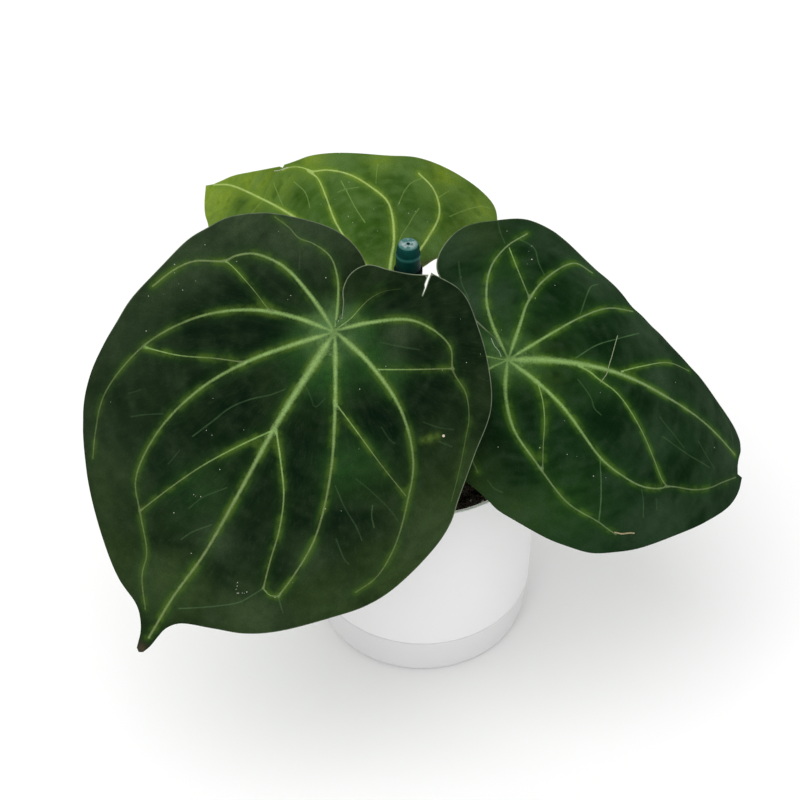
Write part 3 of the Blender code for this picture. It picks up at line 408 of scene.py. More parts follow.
def insideOutline(outline, points):
    a, b = outline, np.roll(outline, -1, axis=0)
    x, y = points[:, :1], points[:, 1:]
    crosses = (a[:, 1] > y) != (b[:, 1] > y)
    rise = np.where(b[:, 1] == a[:, 1], 1e-9, b[:, 1] - a[:, 1])
    return (crosses & (x < (b[:, 0] - a[:, 0]) * (y - a[:, 1]) / rise + a[:, 0])).sum(1) % 2 == 1


def bladeHeight(blade, u, v, degrees, rim):
    t = np.clip(u / blade["length"], -0.3, 1.05)
    plus, minus = blade["bend"]
    low = np.where(v > 0, plus[0], minus[0])
    high = np.where(v > 0, plus[1], minus[1])
    bend = low + (high - low) * np.clip(t, -0.2, 1)
    height = blade["arch"] * 4 * t * (1 - t) - blade["sag"] * (u / blade["length"]) ** 2
    height = height + bend * (v / blade["width"]) ** 2
    radius = np.hypot(u, v)
    over, under, start = blade["lift"]
    height = height + radius * np.where(degrees > 0, over, under) * smoothStep(abs(degrees), start, 35)
    size, count = blade["wave"]
    return height + size * (radius / rim) ** 5 * np.sin(count * np.radians(degrees) + 0.7)


def bladeFrame(blade):
    joint, tip = Vector(blade["joint"]), Vector(blade["tip"])
    along = (tip - joint).normalized()
    normal = Vector(blade["normal"])
    normal = (normal - along * normal.dot(along)).normalized()
    place = Matrix((along, normal.cross(along), normal)).transposed().to_4x4()
    place.translation = joint
    return place


def jointSlope(blade):  # slopes of the blade at its joint, along and across
    u, v = np.array([2.0, -2.0, 0, 0]), np.array([0, 0, 2.0, -2.0])
    h = bladeHeight(blade, u, v, np.degrees(np.arctan2(v, u)), blade["width"])
    return (h[0] - h[1]) / 4, (h[2] - h[3]) / 4


class Veins:  # a blade's veins as short straight lines, with what each needs at its two ends
    def __init__(self, blade, step):
        paths = [smoothCurve([flatPoint(blade, *(p if p[1] else blade["star"])) for p in polar], step)
                 for _, _, _, polar in blade["veins"]]
        joins = []  # ends within 1.5 mm of another vein, and over 5 mm from the petiole's joint
        for i, path in enumerate(paths):
            others = paths[:i] + paths[i + 1:]
            for end in (path[0], path[-1]):
                gap = min(np.linalg.norm(other - end, axis=1).min() for other in others)
                if np.hypot(*end) > 5 and gap < 1.5:
                    joins.append(end)
        self.paths, rows = [], []
        for (first, last, pale, polar), path in zip(blade["veins"], paths):
            t = np.linspace(0, 1, len(path))
            widths = last + (first - last) * (1 - t) ** 2.5
            if polar[0][1] == 0:  # it starts narrow in the joint, and has its own width 15 mm out
                widths *= 0.42 + 0.58 * smoothStep(np.hypot(*path.T), 0, 15)
            gap = np.min([np.linalg.norm(path - join, axis=1) for join in joins], axis=0)
            widths = widths + tissue["web"] * np.exp(-(gap / tissue["webReach"]) ** 2)
            pales = 1 + (pale - 1) * smoothStep(t)
            self.paths.append((widths, path))
            for k in range(len(path) - 1):
                rows.append((*path[k], *path[k + 1], widths[k], widths[k + 1], pales[k], pales[k + 1],
                             k / len(path), (k + 1) / len(path)))
        table = np.array(rows)
        self.starts, self.ends = table[:, 0:2], table[:, 2:4]
        self.widths, self.pales, self.ages = table[:, 4:6], table[:, 6:8], table[:, 8:10]
        self.threads, rows = [], []
        for show, polar in blade["faint"]:
            path = smoothCurve([flatPoint(blade, *p) for p in polar], step)
            self.threads.append(path)
            rows += [(*path[k], *path[k + 1], show) for k in range(len(path) - 1)]
        self.faint = np.array(rows)

    def measure(self, points):  # distance in mm, in visible half widths, the width, paleness and age there
        half = self.widths * tissue["veinHalf"]
        ratio, index, share = nearestLine(points, self.starts, self.ends, half[:, 0], half[:, 1])
        width, pale, age = (pair[index, 0] + (pair[index, 1] - pair[index, 0]) * share
                            for pair in (self.widths, self.pales, self.ages))
        one = np.ones(len(self.starts))
        distance = nearestLine(points, self.starts, self.ends, one, one)[0]
        return distance, ratio, width, pale, age

    def measureFaint(self, points):
        one = np.ones(len(self.faint))
        gap, index, _ = nearestLine(points, self.faint[:, 0:2], self.faint[:, 2:4], one, one)
        return gap, self.faint[index, 4]


def besideLine(path, offset):  # the path moved sideways, by one offset or by one for each of its points
    tangent = np.gradient(path, axis=0)
    tangent /= np.linalg.norm(tangent, axis=1)[:, None]
    return path + np.stack([-tangent[:, 1], tangent[:, 0]], axis=1) * np.reshape(offset, (-1, 1))


def bladePattern(outline, veins):  # the flat mesh: its points lie on the edge and on every vein
    step, half, thread = tissue["step"], tissue["veinHalf"], tissue["thread"]
    near, far = tissue["rows"]
    beside = tissue["threadRow"]
    points = [tuple(p) for p in outline]
    edges = [(k, (k + 1) % len(points)) for k in range(len(points))]
    for path in [p for _, p in veins.paths] + veins.threads:
        first = len(points)
        points += [tuple(p) for p in path]
        edges += [(first + k, first + k + 1) for k in range(len(path) - 1)]
    border = outline, np.roll(outline, -1, axis=0), np.ones(len(outline)), np.ones(len(outline))
    for widths, path in veins.paths:
        for offset in (-far, -near, near, far):
            row = besideLine(path, widths * half * offset)
            clear = veins.measure(row)[1] > 0.93 * abs(offset)  # not where another vein is nearer
            clear &= (nearestLine(row, *border)[0] > tissue["clear"]) & insideOutline(outline, row)
            points += [tuple(p) for p in row[clear]]
    for path in veins.threads:
        for offset in (-beside, beside):
            row = besideLine(path, thread * offset)
            distance, _, width, _, _ = veins.measure(row)
            clear = (distance > width * half * far + 0.4) & insideOutline(outline, row)
            clear &= nearestLine(row, *border)[0] > tissue["clear"]
            points += [tuple(p) for p in row[clear]]
    # A grid of even triangles fills what is left
    rowHeight = 0.866
    count = int((float(np.abs(outline).max()) + step) / step)
    rows = int(count / rowHeight) + 1
    grid = np.array([((column + 0.5 * (row % 2)) * step, row * step * rowHeight)
                     for row in range(-rows, rows + 1) for column in range(-count, count + 1)])
    grid = grid[insideOutline(outline, grid)]
    distance, _, width, _, _ = veins.measure(grid)
    clear = distance > width * half * far + 0.6 * step
    clear &= veins.measureFaint(grid)[0] > thread * beside + 0.5 * step
    grid = grid[clear]
    grid = grid[nearestLine(grid, *border)[0] > 0.7 * step]
    points += [tuple(p) for p in grid]
    found = delaunay_2d_cdt([Vector(p) for p in points], edges, [list(range(len(outline)))], 1, 0.02)
    return np.array([tuple(p) for p in found[0]]), [tuple(t) for t in found[2]], border


# Tone spots: the deep ones are the blade's near-black and also painted shade below its arching veins
toneOrder = ("fresh", "grey", "olive", "lime", "deep", "brown")


def polarSpots(blade, spots, flat):  # soft round spots at polar places
    total = np.zeros(len(flat))
    for degrees, radius, reach, amount in spots:
        gap = np.linalg.norm(flat - np.array(flatPoint(blade, degrees, radius)), axis=1)
        total = np.maximum(total, amount * np.exp(-(gap / reach) ** 2))
    return total


def makeBlade(name, blade, seed, upperMaterial, underMaterial):
    outline = bladeOutline(blade, tissue["step"])
    veins = Veins(blade, tissue["veinStep"])
    flat, triangles, border = bladePattern(outline, veins)
    radius = np.hypot(flat[:, 0], flat[:, 1])
    turn = np.degrees(np.arctan2(flat[:, 1], flat[:, 0]))
    degrees = np.where(turn > blade["sinus"], turn - 360, turn) / blade["fold"]
    u, v = radius * np.cos(np.radians(degrees)), radius * np.sin(np.radians(degrees))
    # How far the edge is in each direction, every 4 degrees and without its slits
    edgeTurn = np.degrees(np.arctan2(outline[:, 1], outline[:, 0]))
    bins = np.arange(-180, 181, 4.0)
    far = []
    for direction in bins:
        edge = outline[abs(edgeTurn - direction) < 5]
        far.append(np.hypot(*edge.T).max() if len(edge) else tissue["leastRim"])
    rim = np.maximum(np.interp(turn, bins, far), np.maximum(radius, tissue["leastRim"]))
    distance, ratio, width, paleness, age = veins.measure(flat)
    edgeGap = nearestLine(flat, *border)[0]
    rib = np.minimum(width, tissue["ribWidth"]) / tissue["ribWidth"] * np.clip(1 - ratio ** 2, 0, 1)
    away = 1 - np.exp(-(distance / tissue["quiltReach"]) ** 2)
    rise = tissue["quilt"] + tissue["puff"] * smoothStep(edgeGap, *tissue["puffIn"])
    swell = rise * away * smoothStep(radius, *tissue["quiltIn"])
    # Creases of 7 mm by 14 degrees, of 4.5 mm and of 3.2 mm by 9 degrees
    creases = np.array([
        noise.noise(Vector((r / 7, d / 14, seed))) + 0.6 * noise.noise(Vector((x / 4.5, y / 4.5, seed + 5)))
        + 0.5 * noise.noise(Vector((r / 3.2, d / 9, seed + 9)))
        for r, d, (x, y) in zip(radius, degrees, flat)])
    fade = 1 - np.exp(-(distance / tissue["creaseGap"]) ** 2)
    fade = fade * smoothStep(radius, *tissue["creaseIn"]) * smoothStep(edgeGap, 0, tissue["creaseReach"])
    height = bladeHeight(blade, u, v, degrees, rim) + swell
    top = height + tissue["topRib"] * rib + blade["crease"] * creases * fade
    inner = smoothStep(edgeGap, 0, tissue["rimReach"])
    thick = tissue["rimThick"] + (tissue["thick"] - tissue["rimThick"]) * inner
    bottom = top - thick - tissue["underRib"] * rib * smoothStep(edgeGap, 0, tissue["underRibReach"])
    slopeAlong, slopeAcross = jointSlope(blade)
    joint = smoothStep(tissue["bossReach"] + tissue["bossBlend"] - radius, 0, tissue["bossBlend"])
    bottom = bottom * (1 - joint) + (slopeAlong * u + slopeAcross * v - tissue["boss"]) * joint
    bottom = np.minimum(bottom, top - tissue["rimThick"])
    place = bladeFrame(blade)
    points = [place @ Vector(p) * mm for p in (*zip(u, v, top), *zip(u, v, bottom))]
    points = np.clip(points, np.array(cadBox[0]) + 0.05 * mm, np.array(cadBox[1]) - 0.05 * mm)
    total = len(flat)
    faces = triangles + [(total + c, total + b, total + a) for a, b, c in triangles]
    sides = {(a, b) for t in triangles for a, b in zip(t, t[1:] + t[:1])}
    for a, b in sides:
        if (b, a) not in sides:
            faces += [(b, a, total + a), (b, total + a, total + b)]
    mesh = bpy.data.meshes.new(name)
    mesh.from_pydata(points, [], faces)
    # What the finishes read: each value once for the upper face and once for the lower
    faintGap, faintShow = veins.measureFaint(flat)
    pale = np.zeros(total)
    for low, high, amount in blade["paleRim"]:  # it fades over 12 degrees at both ends
        shown = smoothStep(degrees - low + 6, 0, 12) * smoothStep(high + 6 - degrees, 0, 12)
        pale = np.maximum(pale, amount * shown)
    values = {
        "veinRatio": np.minimum(ratio, 20), "veinGap": distance, "veinWidth": width, "veinAge": age,
        "veinPale": paleness, "faintGap": faintGap, "faintShow": faintShow, "edgeGap": edgeGap,
        "paleRim": pale, "ridge": creases * fade, "dust": polarSpots(blade, blade["dust"], flat),
        **{"tone_" + kind: polarSpots(blade, blade["tones"].get(kind, ()), flat) for kind in toneOrder},
    }
    for key, value in values.items():
        setAttribute(mesh, key, "FLOAT", "POINT", np.tile(value, 2).astype(np.float32))
    turned = np.radians(degrees * blade["fold"]) * blade["width"] * 0.7
    for key, pair in (("flatPlace", flat), ("roundPlace", np.column_stack([radius, turned]))):
        spread = np.column_stack([pair, np.zeros(total)])
        setAttribute(mesh, key, "FLOAT_VECTOR", "POINT", np.tile(spread, (2, 1)).astype(np.float32).ravel())
    order, count = np.arange(len(faces)), len(triangles)
    setAttribute(mesh, "upperFace", "BOOLEAN", "FACE", order < count)
    mesh.materials.append(upperMaterial)
    mesh.materials.append(underMaterial)
    under = (order >= count) & (order < 2 * count)
    mesh.polygons.foreach_set("material_index", under.astype(np.int32))
    mesh.shade_smooth()
    mesh.set_sharp_from_angle(angle=math.radians(60))
    print(name, len(faces), "triangles")
    return newObject(name, mesh)


def onBlade(side, degrees, radius, lift):  # a place over the blade's upper face in mm, and its normal
    mesh = bladeObjects[side].data
    flat = np.empty(len(mesh.vertices) * 3, np.float32)
    mesh.attributes["flatPlace"].data.foreach_get("vector", flat)
    upper = flat.reshape(-1, 3)[:len(mesh.vertices) // 2, :2]
    gap = np.linalg.norm(upper - np.array(flatPoint(blades[side], degrees, radius)), axis=1)
    near = [mesh.vertices[int(k)] for k in gap.argsort()[:3]]
    share = [1 / (float(gap[vertex.index]) + 0.01) for vertex in near]
    place = sum((vertex.co * s for vertex, s in zip(near, share)), Vector()) / sum(share)
    return place / mm + near[0].normal * lift, near[0].normal.copy()


# Velvet leaf face: a cuticle of tiny domed cells that swallow light, so it is near black face on and greyish
# where it turns away. Sheen gives that bloom. Grey patches, streaks, flecks and crease ridges are painted
# sheen; the crease furrows are painted shade, and the deep spots partly so.
leafLooks = {
    "front": {"deep": "#06160a", "dark": "#142410", "fresh": "#24481e", "olive": "#2f4120", "grey": "#3a4a32",
              "lime": "#526a2a", "brown": "#453c30", "margin": "#212e18", "veinYoung": "#7d9b5b",
              "veinOld": "#6f8052", "light": "#a2be7c", "halo": "#435b1e", "glow": "#284a1c",
              "haze": "#55764a", "rim": "#7f8a70", "faint": "#435c3b", "sheenWeave": (0.1, 20, 6), "creaseLightAndShade": 0.12},
    "right": {"deep": "#071d09", "dark": "#132b13", "fresh": "#25461a", "olive": "#33451c", "grey": "#31442f",
              "lime": "#526a2a", "brown": "#453c30", "margin": "#213520", "veinYoung": "#7c9c5a",
              "veinOld": "#72875c", "light": "#a2be7c", "halo": "#46621e", "glow": "#284f18",
              "haze": "#4f7042", "rim": "#84906e", "faint": "#4b6a42", "sheenWeave": (0.08, 4, 14), "creaseLightAndShade": 0.3},
    "back": {"deep": "#2a4611", "dark": "#48652a", "fresh": "#3c5f1e", "olive": "#56702c", "grey": "#5a7640",
             "lime": "#7a9129", "brown": "#453c30", "margin": "#54702a", "veinYoung": "#a6bf6e",
             "veinOld": "#a2b868", "light": "#b4cb80", "halo": "#67822c", "glow": "#4f6f24",
             "haze": "#5f7d3c", "rim": "#a5b46c", "faint": "#7d9950", "sheenWeave": (0.3, 4, 14), "creaseLightAndShade": 0.3},
}
leafFinish = {"sheen": 0.015, "sheenRoughness": 0.5, "sheenTint": "#7f9a78", "specular": 0.012}


def velvetLeaf(name, look):
    material, tree, shader = newMaterial(
        name, Sheen_Weight=leafFinish["sheen"], Sheen_Roughness=leafFinish["sheenRoughness"],
        Sheen_Tint=leafFinish["sheenTint"], Specular_IOR_Level=leafFinish["specular"])
    keys = ("veinRatio", "veinGap", "veinWidth", "veinAge", "veinPale", "faintGap", "faintShow", "edgeGap",
            "paleRim", "ridge", *("tone_" + kind for kind in toneOrder))
    value = {key: addNode(tree, "ShaderNodeAttribute", attribute_name=key).outputs["Fac"] for key in keys}
    place = addNode(tree, "ShaderNodeAttribute", attribute_name="flatPlace").outputs["Vector"]
    turned = addNode(tree, "ShaderNodeAttribute", attribute_name="roundPlace").outputs["Vector"]
    sheenWeave, along, around = look["sheenWeave"]  # share of the streaks, and their length and width in mm
    across = addNode(tree, "ShaderNodeMapping", {"Scale": (1 / along, 1 / around, 1), "Vector": turned})
    fine = addNode(tree, "ShaderNodeMapping", {"Scale": (1 / 5, 1 / 1.1, 1), "Vector": turned})  # 5 by 1.1 mm
    radius = addNode(tree, "ShaderNodeSeparateXYZ", {"Vector": turned}).outputs["X"]
    noises = {  # name: place, 1 / size in mm, detail and roughness
        "clouds": (place, 1 / 34, 2, 0.5), "mottle": (place, 1 / 6, 5, 0.62),
        "patches": (place, 1 / 14, 3, 0.55), "streaks": (across.outputs[0], 1, 3, 0.5),
        "flecks": (fine.outputs[0], 1, 3, 0.6), "ragged": (place, 1 / 1.2, 3, 0.6),
        "cells": (place, 1 / 0.7, 2, 0.5),      # real cells are 0.05 mm, and 0.7 mm is what still shows
    }
    noises = {key: addNode(tree, "ShaderNodeTexNoise", {"Vector": vector, "Scale": scale, "Detail": detail,
                                                        "Roughness": roughness})
              for key, (vector, scale, detail, roughness) in noises.items()}
    # The vein's own width, made ragged by the cells at its edge, and the distance beyond it
    ragged = addNode(tree, "ShaderNodeMath", {0: noises["ragged"], 1: 0.5}, operation="SUBTRACT")
    ratio = addNode(tree, "ShaderNodeMath", {0: ragged, 1: 1.0, 2: value["veinRatio"]},
                    operation="MULTIPLY_ADD")
    beyond = addNode(tree, "ShaderNodeMath", {0: value["veinWidth"], 1: -tissue["veinHalf"],
                                              2: value["veinGap"]}, operation="MULTIPLY_ADD")
    # Streaks, ridges, patches and flecks in grey are painted sheen; furrows are painted shade in the crease
    # valleys
    ranges = {  # name: what it reads, from, to, value there at the start and at the end
        "uneven": (noises["mottle"], 0.32, 0.68, 0.7, 1.15),
        "patchy": (noises["patches"], 0.35, 0.65, 0.3, 1.0),
        "sheenStreaks": (noises["streaks"], 0.4, 0.7, 0.0, sheenWeave), "margin": (value["edgeGap"], 34, 5, 0.0, 0.5),
        "ridgeSheen": (value["ridge"], -0.2, 0.9, 0.0, look["creaseLightAndShade"]),
        "furrowShade": (value["ridge"], -0.1, -0.9, 0.0, 1.6 * look["creaseLightAndShade"]),
        "sheenPatches": (noises["patches"], 0.5, 0.72, 0.0, 0.15), "haze": (radius, 1, 26, 0.7, 0.0),
        "fleck": (noises["flecks"], 0.52, 0.72, 0.0, 0.12), "beaded": (noises["mottle"], 0.3, 0.7, 0.75, 1.1),
        "glowing": (noises["patches"], 0.4, 0.6, 0.15, 1.0), "joint": (radius, 2, 9, 0.6, 1.0),
        "glow": (beyond, 0.0, 6.0, 0.45, 0.0), "halo": (beyond, -0.3, 2.8, 0.9, 0.0),
        "thread": (value["faintGap"], 0.05, 0.6, 1.0, 0.0), "line": (value["edgeGap"], 0.1, 0.65, 0.9, 0.0),
        "old": (value["veinAge"], 0.15, 0.7, 0.0, 1.0), "broad": (value["veinWidth"], 3.0, 5.0, 0.0, 1.0),
        "core": (ratio, 0.1, 1.35, 1.0, 0.0), "middle": (ratio, 0.0, 0.4, 0.1, 0.0),
        "grain": (noises["cells"], 0.3, 0.7, 0.88, 1.12), "plain": (value["tone_deep"], 0.6, 1.0, 1.0, 0.3),
    }
    amount = {key: addNode(tree, "ShaderNodeMapRange", {"Value": source, "From Min": low, "From Max": high,
                                                        "To Min": start, "To Max": end},
                           interpolation_type="SMOOTHSTEP").outputs[0]
              for key, (source, low, high, start, end) in ranges.items()}
    products = (
        ("glow", "patchy"), ("glow", value["veinPale"]), ("halo", "glowing"), ("halo", value["veinPale"]),
        ("core", "joint"), ("core", value["veinPale"]), ("middle", "broad"), ("margin", "patchy"),
        ("ridgeSheen", "uneven"), ("sheenStreaks", "uneven"), ("sheenPatches", "uneven"), ("ridgeSheen", "plain"),
        ("sheenPatches", "plain"), ("fleck", "plain"), ("glow", "plain"), ("thread", value["faintShow"]),
        ("thread", "uneven"), ("haze", "patchy"), ("core", "beaded"), ("line", value["paleRim"]),
        ("line", "uneven"))
    for key, other in products:
        other = amount[other] if isinstance(other, str) else other
        amount[key] = addNode(tree, "ShaderNodeMath", {0: amount[key], 1: other}, operation="MULTIPLY",
                              use_clamp=True).outputs[0]
    for kind in toneOrder:
        amount[kind] = addNode(tree, "ShaderNodeMath", {0: value["tone_" + kind], 1: amount["uneven"]},
                               operation="MULTIPLY", use_clamp=True).outputs[0]
    ground = addNode(tree, "ShaderNodeValToRGB", {"Fac": noises["clouds"]},
                     ramp=[(0.4, look["deep"]), (0.62, look["dark"])])
    veinColour = look["veinYoung"]
    for key, over in (("old", "veinOld"), ("middle", "light")):
        veinColour = addNode(tree, "ShaderNodeMix", {"Factor": amount[key], "A": veinColour, "B": look[over]},
                             data_type="RGBA")
    colour = ground
    layers = [
        ("margin", look["margin"]), *((kind, look[kind]) for kind in toneOrder),
        *((kind, look["grey"]) for kind in ("sheenPatches", "ridgeSheen", "sheenStreaks", "fleck")),
        ("furrowShade", look["deep"]), ("glow", look["glow"]), ("halo", look["halo"]), ("haze", look["haze"]),
        ("thread", look["faint"]), ("core", veinColour), ("line", look["rim"])]
    for key, over in layers:  # each over the one before
        colour = addNode(tree, "ShaderNodeMix", {"Factor": amount[key], "A": colour, "B": over},
                         data_type="RGBA")
    colour = addNode(tree, "ShaderNodeVectorMath", {0: colour, 1: amount["grain"]}, operation="MULTIPLY")
    relief = addNode(tree, "ShaderNodeMath", {0: noises["mottle"], 1: 3.0, 2: noises["cells"]},
                     operation="MULTIPLY_ADD")
    finishShader(tree, shader, colour, (noises["mottle"], 0.3, 0.7, 0.55, 0.72), (relief, 0.4, 0.0003))
    return material


# Leaf underside: no velvet cells, so it is a flat pale green, with paler ribs and a net of fine veins
def leafUnderside(name, ground, shade, ribColour):
    material, tree, shader = newMaterial(name, Specular_IOR_Level=0.3)
    ribs, threads = (addNode(tree, "ShaderNodeAttribute", attribute_name=key).outputs["Fac"]
                     for key in ("veinRatio", "faintGap"))
    place = addNode(tree, "ShaderNodeAttribute", attribute_name="flatPlace").outputs["Vector"]
    clouds = addNode(tree, "ShaderNodeTexNoise", {"Vector": place, "Scale": 1 / 12, "Detail": 5})  # 12 mm
    net = addNode(tree, "ShaderNodeTexVoronoi", {"Vector": place, "Scale": 1 / 4},  # 4 mm
                  feature="DISTANCE_TO_EDGE")
    colour = addNode(tree, "ShaderNodeValToRGB", {"Fac": clouds}, ramp=[(0.35, shade), (0.65, ground)])
    shown = []
    for source, low, high, most, kind in ((net, 0.0, 0.08, 0.5, "LINEAR"), (threads, 0.2, 0.9, 0.8, "LINEAR"),
                                          (ribs, 0.8, 1.6, 1.0, "SMOOTHSTEP")):
        shown.append(addNode(tree, "ShaderNodeMapRange", {"Value": source, "From Min": low, "From Max": high,
                                                          "To Min": most, "To Max": 0.0},
                             interpolation_type=kind))
        colour = addNode(tree, "ShaderNodeMix", {"Factor": shown[-1], "A": colour, "B": ribColour},
                         data_type="RGBA")
    finishShader(tree, shader, colour, (clouds, 0, 1, 0.5, 0.66), (shown[0], 0.3, 0.0003))
    return material


underDark = leafUnderside("leafUndersideDark", "#5f7848", "#4b653a", "#92a96c")
underYoung = leafUnderside("leafUndersideYoung", "#7f9a48", "#6c893e", "#b0c47c")
blades = {"front": frontBlade, "right": rightBlade, "back": backBlade}
bladeSlots = {"front": "velvet_dark", "right": "velvet_deep", "back": "velvet_young"}
bladeObjects = {}
for order, (side, blade) in enumerate(blades.items()):
    upper = velvetLeaf("velvetLeaf" + side.capitalize(), leafLooks[side])
    obj = makeBlade(side + "Blade", blade, 11.3 + 7 * order, upper,
                    underYoung if side == "back" else underDark)
    isThePiece(obj, bladeSlots[side], "blade_" + side)
    bladeObjects[side] = obj
print("blades made")


# Pot and reservoir: injection-moulded polypropylene, satin white. The two parts meet at a fine groove.
pot = {
    "height": 160.0, "rimRadius": 75.0, "seamRadius": 73.4, "footRadius": 71.0, "footFillet": 7.0,
    "seamHeight": 32.5, "groove": 0.7, "gap": 0.3, "wall": 2.3, "taper": 3.0, "plateHeight": 38.0,
    "plate": 2.6, "spigot": 9.0, "wellRadius": 17.0, "wellTaper": 2.0, "wellBottom": 7.0, "baseFloor": 3.0,
    "haunch": 9.0, "bevel": 5.0, "edge": 0.8, "sides": 160,
    "flat": 40.0,         # the middle of the underside
    "walls": (80, 120),   # heights where the wall has a ring of points
    "seamRound": 0.6, "rimRound": 0.9,
}


def turnedMesh(name, profile, at, sides, ring=False):  # radii and heights turned about an upright axis
    bm = bmesh.new()
    rows = []
    for radius, z in profile:
        if radius < 1e-6:
            rows.append([bm.verts.new((at[0] * mm, at[1] * mm, z * mm))] * sides)
            continue
        rows.append([bm.verts.new(((at[0] + radius * math.cos(2 * math.pi * k / sides)) * mm,
                                   (at[1] + radius * math.sin(2 * math.pi * k / sides)) * mm, z * mm))
                     for k in range(sides)])
    for a, b in zip(rows, rows[1:] + rows[:1] if ring else rows[1:]):
        for k in range(sides):
            corners = [a[k], a[(k + 1) % sides], b[(k + 1) % sides], b[k]]
            corners = [c for n, c in enumerate(corners) if c is not corners[n - 1]]
            if len(corners) > 2:
                bm.faces.new(corners)
    bmesh.ops.recalc_face_normals(bm, faces=bm.faces)
    mesh = keepMesh(bm, name)
    mesh.set_sharp_from_angle(angle=math.radians(35))
    return mesh


def roundOff(profile, radii, steps=5):  # rounds the profile's corners, each by its own radius
    out = []
    for k, point in enumerate(profile):
        p = np.array(point, float)
        size = radii.get(k, 0)
        if size == 0:
            out.append(tuple(p))
            continue
        before, after = np.array(profile[k - 1], float), np.array(profile[(k + 1) % len(profile)], float)
        a = p + (before - p) / np.linalg.norm(before - p) * size
        b = p + (after - p) / np.linalg.norm(after - p) * size
        for j in range(steps + 1):
            t = j / steps
            out.append(tuple((1 - t) ** 2 * a + 2 * t * (1 - t) * p + t ** 2 * b))
    return out


def potPlastic(name, ground, shade):
    # Satin white polypropylene: soft wide highlights over a very slightly uneven moulded skin
    material, tree, shader = newMaterial(name, Specular_IOR_Level=0.5, IOR=1.49)
    place = addNode(tree, "ShaderNodeTexCoord").outputs["Object"]
    clouds, smudge, skin = (  # grains of 45 mm, 11 mm and 0.6 mm
        addNode(tree, "ShaderNodeTexNoise", {"Vector": place, "Scale": scale, "Detail": detail})
        for scale, detail in ((22, 3), (90, 4), (1600, 2)))
    colour = addNode(tree, "ShaderNodeMix", {"Factor": clouds, "A": ground, "B": shade}, data_type="RGBA")
    finishShader(tree, shader, colour, (smudge, 0.3, 0.7, 0.3, 0.38), (skin, 0.1, 0.0001))
    return material


def outerRadius(z):
    rise = (z - pot["seamHeight"]) / (pot["height"] - pot["seamHeight"])
    return pot["seamRadius"] + (pot["rimRadius"] - pot["seamRadius"]) * rise


def boreRadius(z):
    low = pot["plateHeight"] + pot["plate"]
    narrow = outerRadius(low) - pot["wall"] - pot["taper"]
    return narrow + (pot["rimRadius"] - pot["wall"] - narrow) * (z - low) / (pot["height"] - low)


def reservoirBore(z):
    rise = (z - pot["haunch"]) / (pot["seamHeight"] - pot["haunch"])
    return pot["footRadius"] - pot["wall"] + (pot["seamRadius"] - pot["footRadius"]) * rise


def makeReservoir():
    arc = [(pot["footRadius"] - pot["footFillet"] * (1 - math.sin(a)), pot["footFillet"] * (1 - math.cos(a)))
           for a in np.linspace(0, math.pi / 2, 13)]
    seam, haunch = pot["seamHeight"], reservoirBore(pot["haunch"])
    profile = [(0, 0), (pot["flat"], 0), *arc, (pot["seamRadius"], seam - pot["edge"]),
               (pot["seamRadius"] - pot["groove"], seam), (reservoirBore(seam), seam),
               (haunch, pot["haunch"]), (haunch - pot["bevel"], pot["baseFloor"]), (0, pot["baseFloor"])]
    profile = roundOff(profile, {len(arc) + 2: pot["seamRound"]})
    return turnedMesh("reservoirBase", profile, (0, 0), pot["sides"])


def makePot():
    seam, gap, top = pot["seamHeight"], pot["gap"], pot["height"]
    low = seam + gap
    spigotBottom = seam - pot["spigot"]
    spigot, spigotEnd = reservoirBore(seam) - gap, reservoirBore(spigotBottom) - gap
    plateTop, well = pot["plateHeight"] + pot["plate"], pot["wellRadius"] + pot["wall"]
    lower, upper = pot["walls"]
    profile = [
        (0, pot["wellBottom"]), (well - pot["wellTaper"], pot["wellBottom"]), (well, pot["plateHeight"]),
        (spigotEnd - pot["wall"], pot["plateHeight"]), (spigotEnd - pot["wall"], spigotBottom),
        (spigotEnd, spigotBottom), (spigot, seam), (spigot, low), (pot["seamRadius"] - pot["groove"], low),
        (pot["seamRadius"], low + pot["edge"]), (outerRadius(lower), lower), (outerRadius(upper), upper),
        (pot["rimRadius"], top), (pot["rimRadius"] - pot["wall"], top), (boreRadius(upper), upper),
        (boreRadius(plateTop), plateTop), (pot["wellRadius"], plateTop),
        (pot["wellRadius"] - pot["wellTaper"], pot["wellBottom"] + pot["plate"]),
        (0, pot["wellBottom"] + pot["plate"])]
    profile = roundOff(profile, {9: pot["seamRound"], 12: pot["rimRound"], 13: pot["rimRound"]})
    return turnedMesh("planterPot", profile, (0, 0), pot["sides"])


upperPlastic = potPlastic("satinPolypropyleneUpper", "#f1f0f2", "#eeedee")
# The reservoir's plastic is a darker copy: painted shade on its inward-curving wall near the floor
shadedLowerPlastic = potPlastic("satinPolypropyleneShadedLower", "#e3e1e3", "#dfdedf")
potObject = newObject("planterPot", makePot(), upperPlastic)
isThePiece(potObject, "pot_upper", "planter_pot")
reservoirObject = newObject("reservoirBase", makeReservoir(), shadedLowerPlastic)
isThePiece(reservoirObject, "pot_lower", "reservoir_base")
print("pot made")


# Water gauge: a dark tube, its collar, and a teal cap with a drip hole
gauge = {
    "at": (-10.0, 58.0), "tubeRadius": 6.5, "bore": 5.3, "bottom": 5.0, "collar": (9.2, 243.0, 247.5),
    "cap": (8.0, 7.6, 5.7, 268.0), "ringHeight": 260.2, "hole": 0.9, "gap": 0.3, "roof": 2.0, "sides": 64,
    # Colours from the collar's top up to the cap's top
    "tubeBands": [(0, "#0b1514"), (1, "#101d1c")],
    # The cap is darker towards the bottom, and its light band at 0.59 is a painted highlight on the raised
    # ring
    "capBands": [(0, "#041512"), (0.3, "#07302a"), (0.5, "#0a3a35"), (0.59, "#35706a"), (0.66, "#08342f"),
                 (1, "#0f403c")],
    "floatBands": [(0, "#b8b8b4"), (1, "#a8a8a4")],
}


